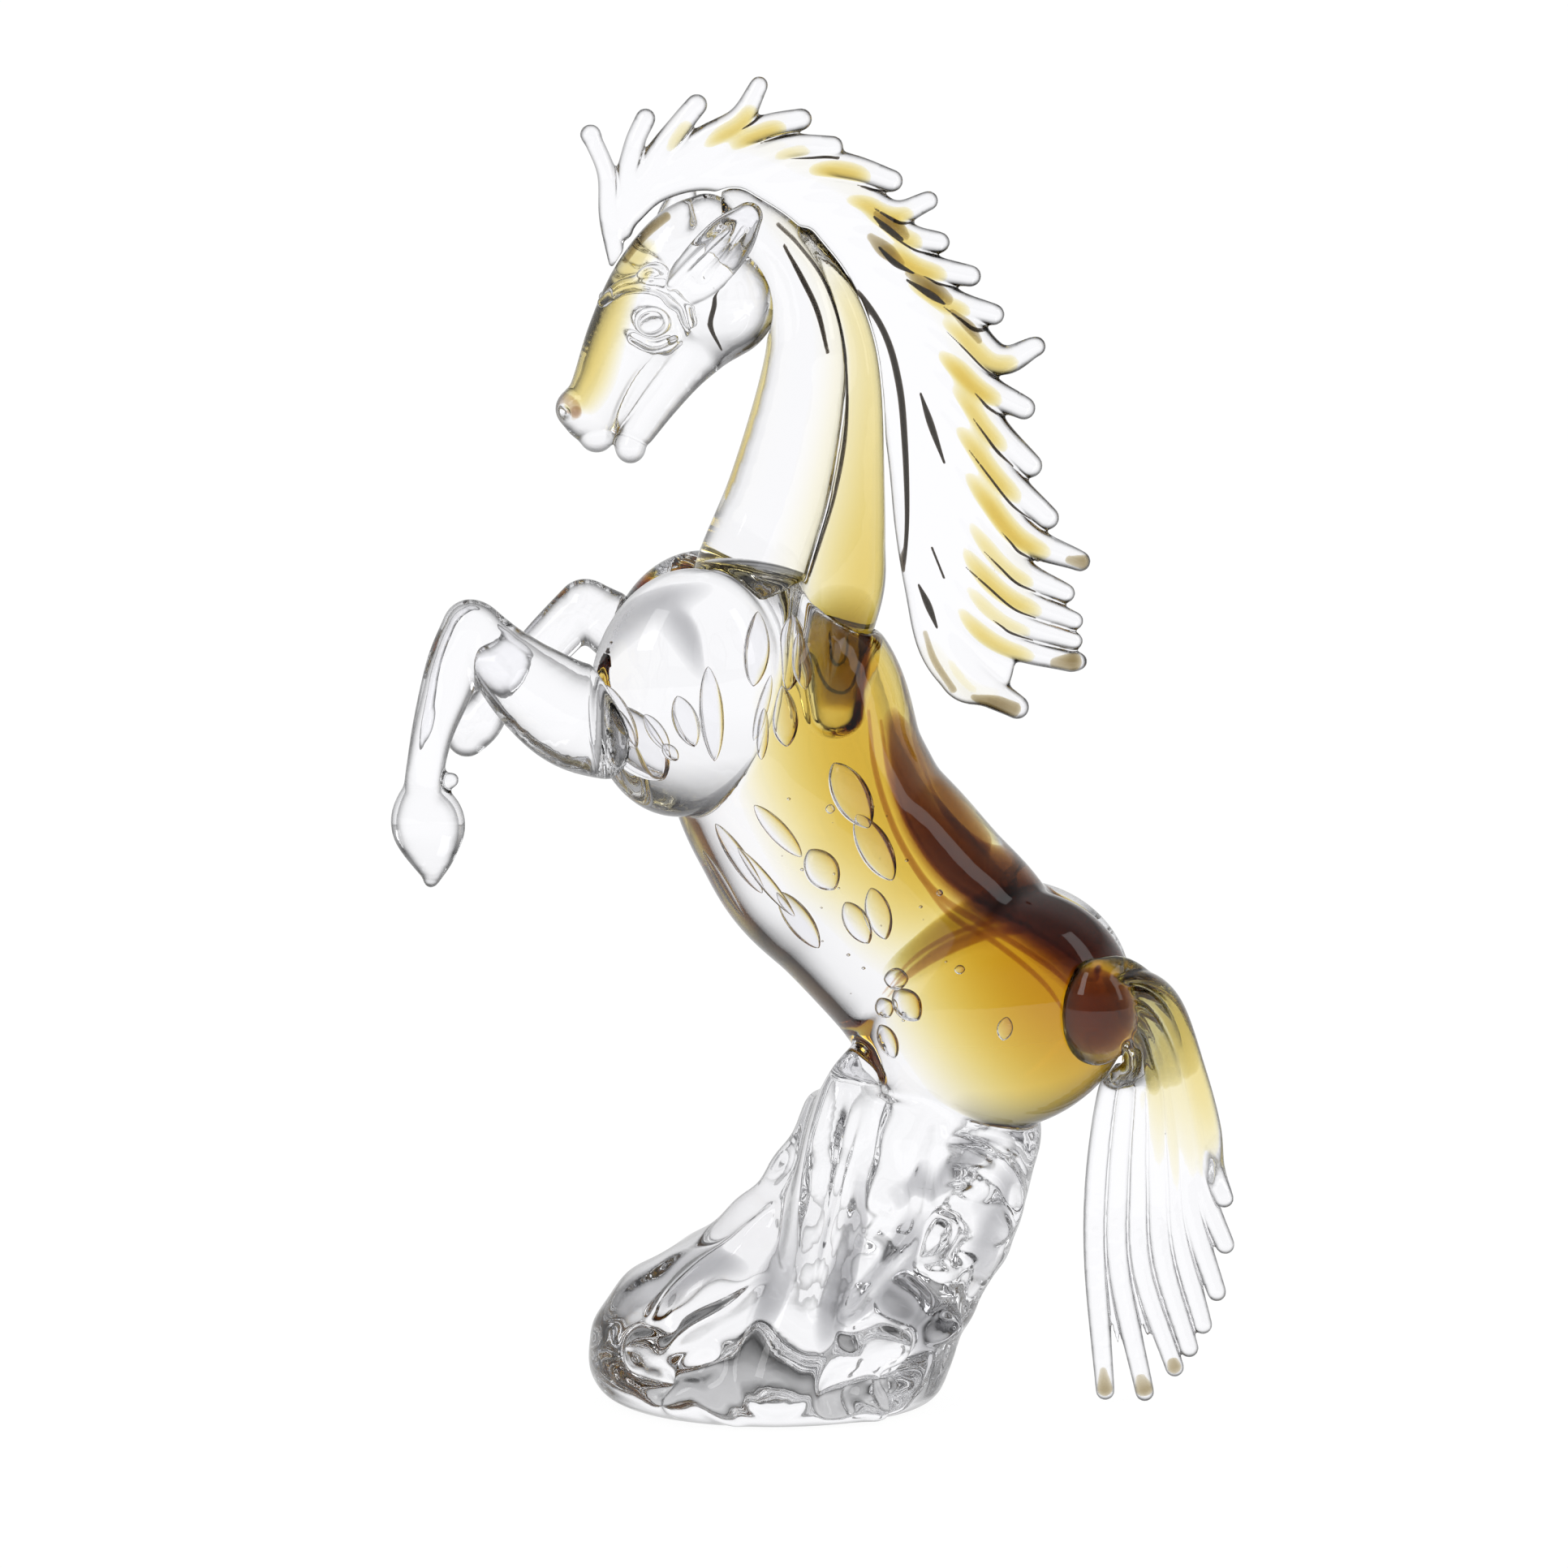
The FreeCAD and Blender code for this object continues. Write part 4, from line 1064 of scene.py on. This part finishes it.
def build_cores():
    """The amber and brown glass inside the clear glass, and the grey and dark volumes of painted shade."""
    tinted("body_amber", 86, GOLD, core(*TRUNK_BLOCK, Leaf(TRUNK, -0.5, 0.45, 0.8, 0.66, 0.25, 0.3)),
           ("body_core",))
    tinted("haunch_amber", 142, GOLD,
           core(*TRUNK_BLOCK, Heart((64, 0, 117.5), (40, 29, 35.5), 20, 35, -0.85, 0.8, 0.85)))
    tinted("spine_amber", 270, BROWN,
           core(*TRUNK_BLOCK, Leaf(SPINE, -0.95, 0.15, 0.95, 1, 0.06, 0.03), Sweep(REAR_STRAND)))
    strands = [Sweep([(*row[:4], STRAND_SHARE * row[4]) for row in rows]) for rows in CROUP_STRANDS]
    tinted("croup_strands", 420, RUST, fine_core(*TRUNK_BLOCK, *strands))
    # Olive amber that also paints the shade under the crease between trunk and haunch.
    tinted("flank_amber_crease_shade", 95, OLIVE, core(*TRUNK_BLOCK, Leaf(FLANK, -0.95, 0.6, 0.95, 1, 0.3, 0.2)))
    # Painted shade: grey volumes over the shoulder, at the collar and under the breast.
    painted_shades = [Leaf(SHADE, -0.95, 0.5, 0.95, 1, 0.2, 0.3), Leaf(SHADE_TAIL, -0.95, 0.5, 0.95, 1, 0.2, 0.5)]
    painted_shades += [Leaf(row, -0.95, 0, 0.95, 1, 0.2, 0.2) for row in (COLLAR_SHADE, BREAST_SHADE)]
    tinted("shoulder_painted_shade", 130, PAINTED_SHADE_GREY, core(*TRUNK_BLOCK, *painted_shades))
    tinted("crest_amber", 90, GOLD,
           core(*NECK_BLOCK, Leaf(CREST, 0.9, -0.4, -0.87, 0.85, 0.02, 0.2)),
           ("neck_core",))
    tinted("lobe_amber", 270, OLIVE, core(*NECK_BLOCK, Leaf(LOBE, 0.98, 0.0, -0.98, 1, 0.03, 0.75)))
    tinted("throat_amber", 25, GOLD, core(*NECK_BLOCK, Leaf(NECK, 0.0, -0.7, -0.87, 0.6, 0.3, 0.2)))
    nose = Within(Leaf(NOSE, 0.9, -0.2, -0.95, 0.9, 0.1, 0.05), Sweep(SKULL), 0.7)
    tinted("face_amber", 140, GOLD, core(*FACE_BLOCK, nose), ("face_strip",))
    nostrils = [Ball((-58.6, side * 4.2, 293), (2.6, 1.6, 2), -40) for side in (-1, 1)]
    tinted("nostril_amber", 420, BROWN, core(*FACE_BLOCK, *nostrils))
    tinted("mane_amber", 40, GOLD, core(*MANE_BLOCK,
                                               Leaf(MANE_BAND, -0.95, 0.2, 0.95, 0.6, 0.06, 0.06),
                                               Leaf(MANE_HEM, -0.9, 0, 0.9, 0.9, 0.1, 0.1)))
    tinted("mane_streaks", 600, GOLD, mane_streaks())
    tinted("mane_pockets", 600, UMBER, fine_core(*MANE_BLOCK, *[Sweep(row) for row in POCKETS]))
    # Painted shade: fine dark lines between the locks and down the neck and head.
    tinted("painted_shade_lines", 1300, SHADE_LINE_COLOUR, fine_core(*SHADE_LINE_BLOCK, *dark_shade_lines()))
    # Painted shade: grey volumes inside the rock, kept below its skin.
    rock_painted_shades = [Within(Leaf(row, -0.95, 0.2, 0.95, 1, 0.2, 0.25), Column(ROCK),
                    ROCK_MARGIN) for row in ROCK_SHADES]
    tinted("rock_painted_shade", 100, PAINTED_SHADE_GREY, core(*ROCK_BLOCK, *rock_painted_shades))
    tinted("tail_tips", 500, UMBER, fine_core(*TIPS_BLOCK, *[Sweep(row) for row in TAIL_TIPS]))
    tinted("tail_streaks", 300, GOLD, tail_streaks())
    tinted("boss_amber", 300, RUST, core(*BOSS_BLOCK, Ball((91.8, -25.5, 120.6), (9.2, 7, 11.6), 10)))
    ribs = [Sweep(tail_strand(number, (1.3, 1.5, 1.8, 1.2), (2.6, 3.4, 3, 1.2), 4)) for number in range(3,
                                                                                                        8)]
    tinted("arch_amber", 330, OLIVE, core(*BOSS_BLOCK, *ribs))


# ---------------------------------------------------------------- studio

FLOOR_HALF = 30.0
FLOOR_DROP = 0.0003
CAMERA_TARGET = (0.0014, 0.0, 0.18324)
CAMERA_DISTANCE = 2.5
CAMERA_ELEVATION = math.radians(8.5)
FRAME_WIDTH = 0.45817
SENSOR_WIDTH = 36
LAMP_TARGET = (0, 0, 0.2)
BOUNCES = 24
GLOSSY_BOUNCES = 12


def sky():
    """White all round for straight light; dim, with bright patches, for light mirrored in the glass."""
    world = bpy.data.worlds.new("studio")
    bpy.context.scene.world = world
    world.use_nodes = True
    tree = world.node_tree
    tree.nodes.clear()
    link = tree.links.new

    def ramp(source, stops):
        node = tree.nodes.new("ShaderNodeValToRGB")
        elements = node.color_ramp.elements
        for number, (place, grey) in enumerate(stops):
            stop = elements[number] if number < 2 else elements.new(place)
            stop.position = place
            stop.color = (grey, grey, grey, 1)
        link(source, node.inputs["Fac"])
        return node.outputs["Color"]

    def maths(operation, first, second):
        node = tree.nodes.new("ShaderNodeMath")
        node.operation = operation
        for socket, value in zip(node.inputs, (first, second)):
            if isinstance(value, float):
                socket.default_value = value
            else:
                link(value, socket)
        return node.outputs[0]

    def mixed(share, first, second):
        node = tree.nodes.new("ShaderNodeMix")
        node.data_type = "RGBA"
        link(share, node.inputs["Factor"])
        link(first, node.inputs["A"])
        link(second, node.inputs["B"])
        return node.outputs["Result"]

    coordinates = tree.nodes.new("ShaderNodeTexCoord")
    parts = tree.nodes.new("ShaderNodeSeparateXYZ")
    link(coordinates.outputs["Generated"], parts.inputs["Vector"])
    height = parts.outputs["Z"]
    straight = ramp(height, [(0.0, 1.0), (0.85, 0.3), (0.25, 0.95), (0.5, 0.6)])
    lift, depth = (maths("MULTIPLY_ADD", parts.outputs[axis], 0.5) for axis in ("Z", "Y"))
    for raised in (lift, depth):
        raised.node.inputs[2].default_value = 0.5
    first_mirror = maths("MULTIPLY", ramp(height, [(0.0, 1.0), (0.5, 0.45), (0.3, 1.0), (0.9, 0.8)]),
                         ramp(depth, [(0.0, 0.3), (1.0, 1.0), (0.4, 0.45), (0.6, 0.9)]))
    inner = ramp(lift, [(0.4, 0.14), (1.0, 0.5), (0.5, 0.4), (0.54, 0.6), (0.62, 0.6), (0.72, 0.34),
                        (0.82, 0.05)])
    path = tree.nodes.new("ShaderNodeLightPath")
    mirrored = maths("GREATER_THAN", path.outputs["Glossy Depth"], 0.5)
    through = maths("GREATER_THAN", path.outputs["Transmission Depth"], 0.5)
    colour = mixed(mirrored, straight, mixed(through, first_mirror, inner))
    strength = maths("MULTIPLY_ADD", path.outputs["Is Diffuse Ray"], 0.15)
    strength.node.inputs[2].default_value = 1.02
    background = tree.nodes.new("ShaderNodeBackground")
    output = tree.nodes.new("ShaderNodeOutputWorld")
    link(colour, background.inputs["Color"])
    link(strength, background.inputs["Strength"])
    link(background.outputs[0], output.inputs["Surface"])


def floor():
    """A wide pale floor, about as bright as the world, a hair under the rest face."""
    material, _, shader = new_material("floor")
    put(shader, Base_Color=(0.12, 0.12, 0.12, 1), Roughness=0.15, Specular_IOR_Level=0,
        Emission_Color=(1, 1, 1, 1), Emission_Strength=0.95)
    half = FLOOR_HALF
    mesh = bpy.data.meshes.new("floor")
    corners = [(-half, -half, 0), (half, -half, 0), (half, half, 0), (-half, half, 0)]
    mesh.from_pydata(corners, [], [(0, 1, 2, 3)])
    mesh.materials.append(material)
    plane = bpy.data.objects.new("floor", mesh)
    plane.location.z = -FLOOR_DROP
    bpy.context.scene.collection.objects.link(plane)


def softbox(name, place, width, height, power):
    lamp = bpy.data.lights.new(name, "AREA")
    lamp.shape = "RECTANGLE"
    lamp.size = width
    lamp.size_y = height
    lamp.energy = power
    holder = bpy.data.objects.new(name, lamp)
    holder.location = place
    aim(holder, np.array(LAMP_TARGET) - np.array(place))
    bpy.context.scene.collection.objects.link(holder)


def aim(holder, direction):
    holder.rotation_euler = Vector(direction).to_track_quat("-Z", "Y").to_euler()


def camera():
    """The photograph's viewpoint: level with the near side and a little above."""
    distance, elevation, target = CAMERA_DISTANCE, CAMERA_ELEVATION, np.array(CAMERA_TARGET)
    view = bpy.data.cameras.new("camera")
    view.sensor_width = SENSOR_WIDTH
    view.lens = SENSOR_WIDTH * distance / FRAME_WIDTH
    holder = bpy.data.objects.new("camera", view)
    place = target + distance * np.array((0, -math.cos(elevation), math.sin(elevation)))
    holder.location = place
    aim(holder, target - place)
    bpy.context.scene.collection.objects.link(holder)
    bpy.context.scene.camera = holder


def settings():
    scene = bpy.context.scene
    scene.view_settings.view_transform = "Standard"
    scene.cycles.max_bounces = BOUNCES
    scene.cycles.transmission_bounces = BOUNCES
    scene.cycles.glossy_bounces = GLOSSY_BOUNCES
    scene.cycles.transparent_max_bounces = BOUNCES


camera()
sky()
floor()
softbox("key", (-0.9, -0.9, 1.1), 0.5, 0.8, 3)
softbox("rim", (1.1, -0.5, 0.8), 0.3, 0.9, 1.2)
build_clear()
build_cores()
settings()
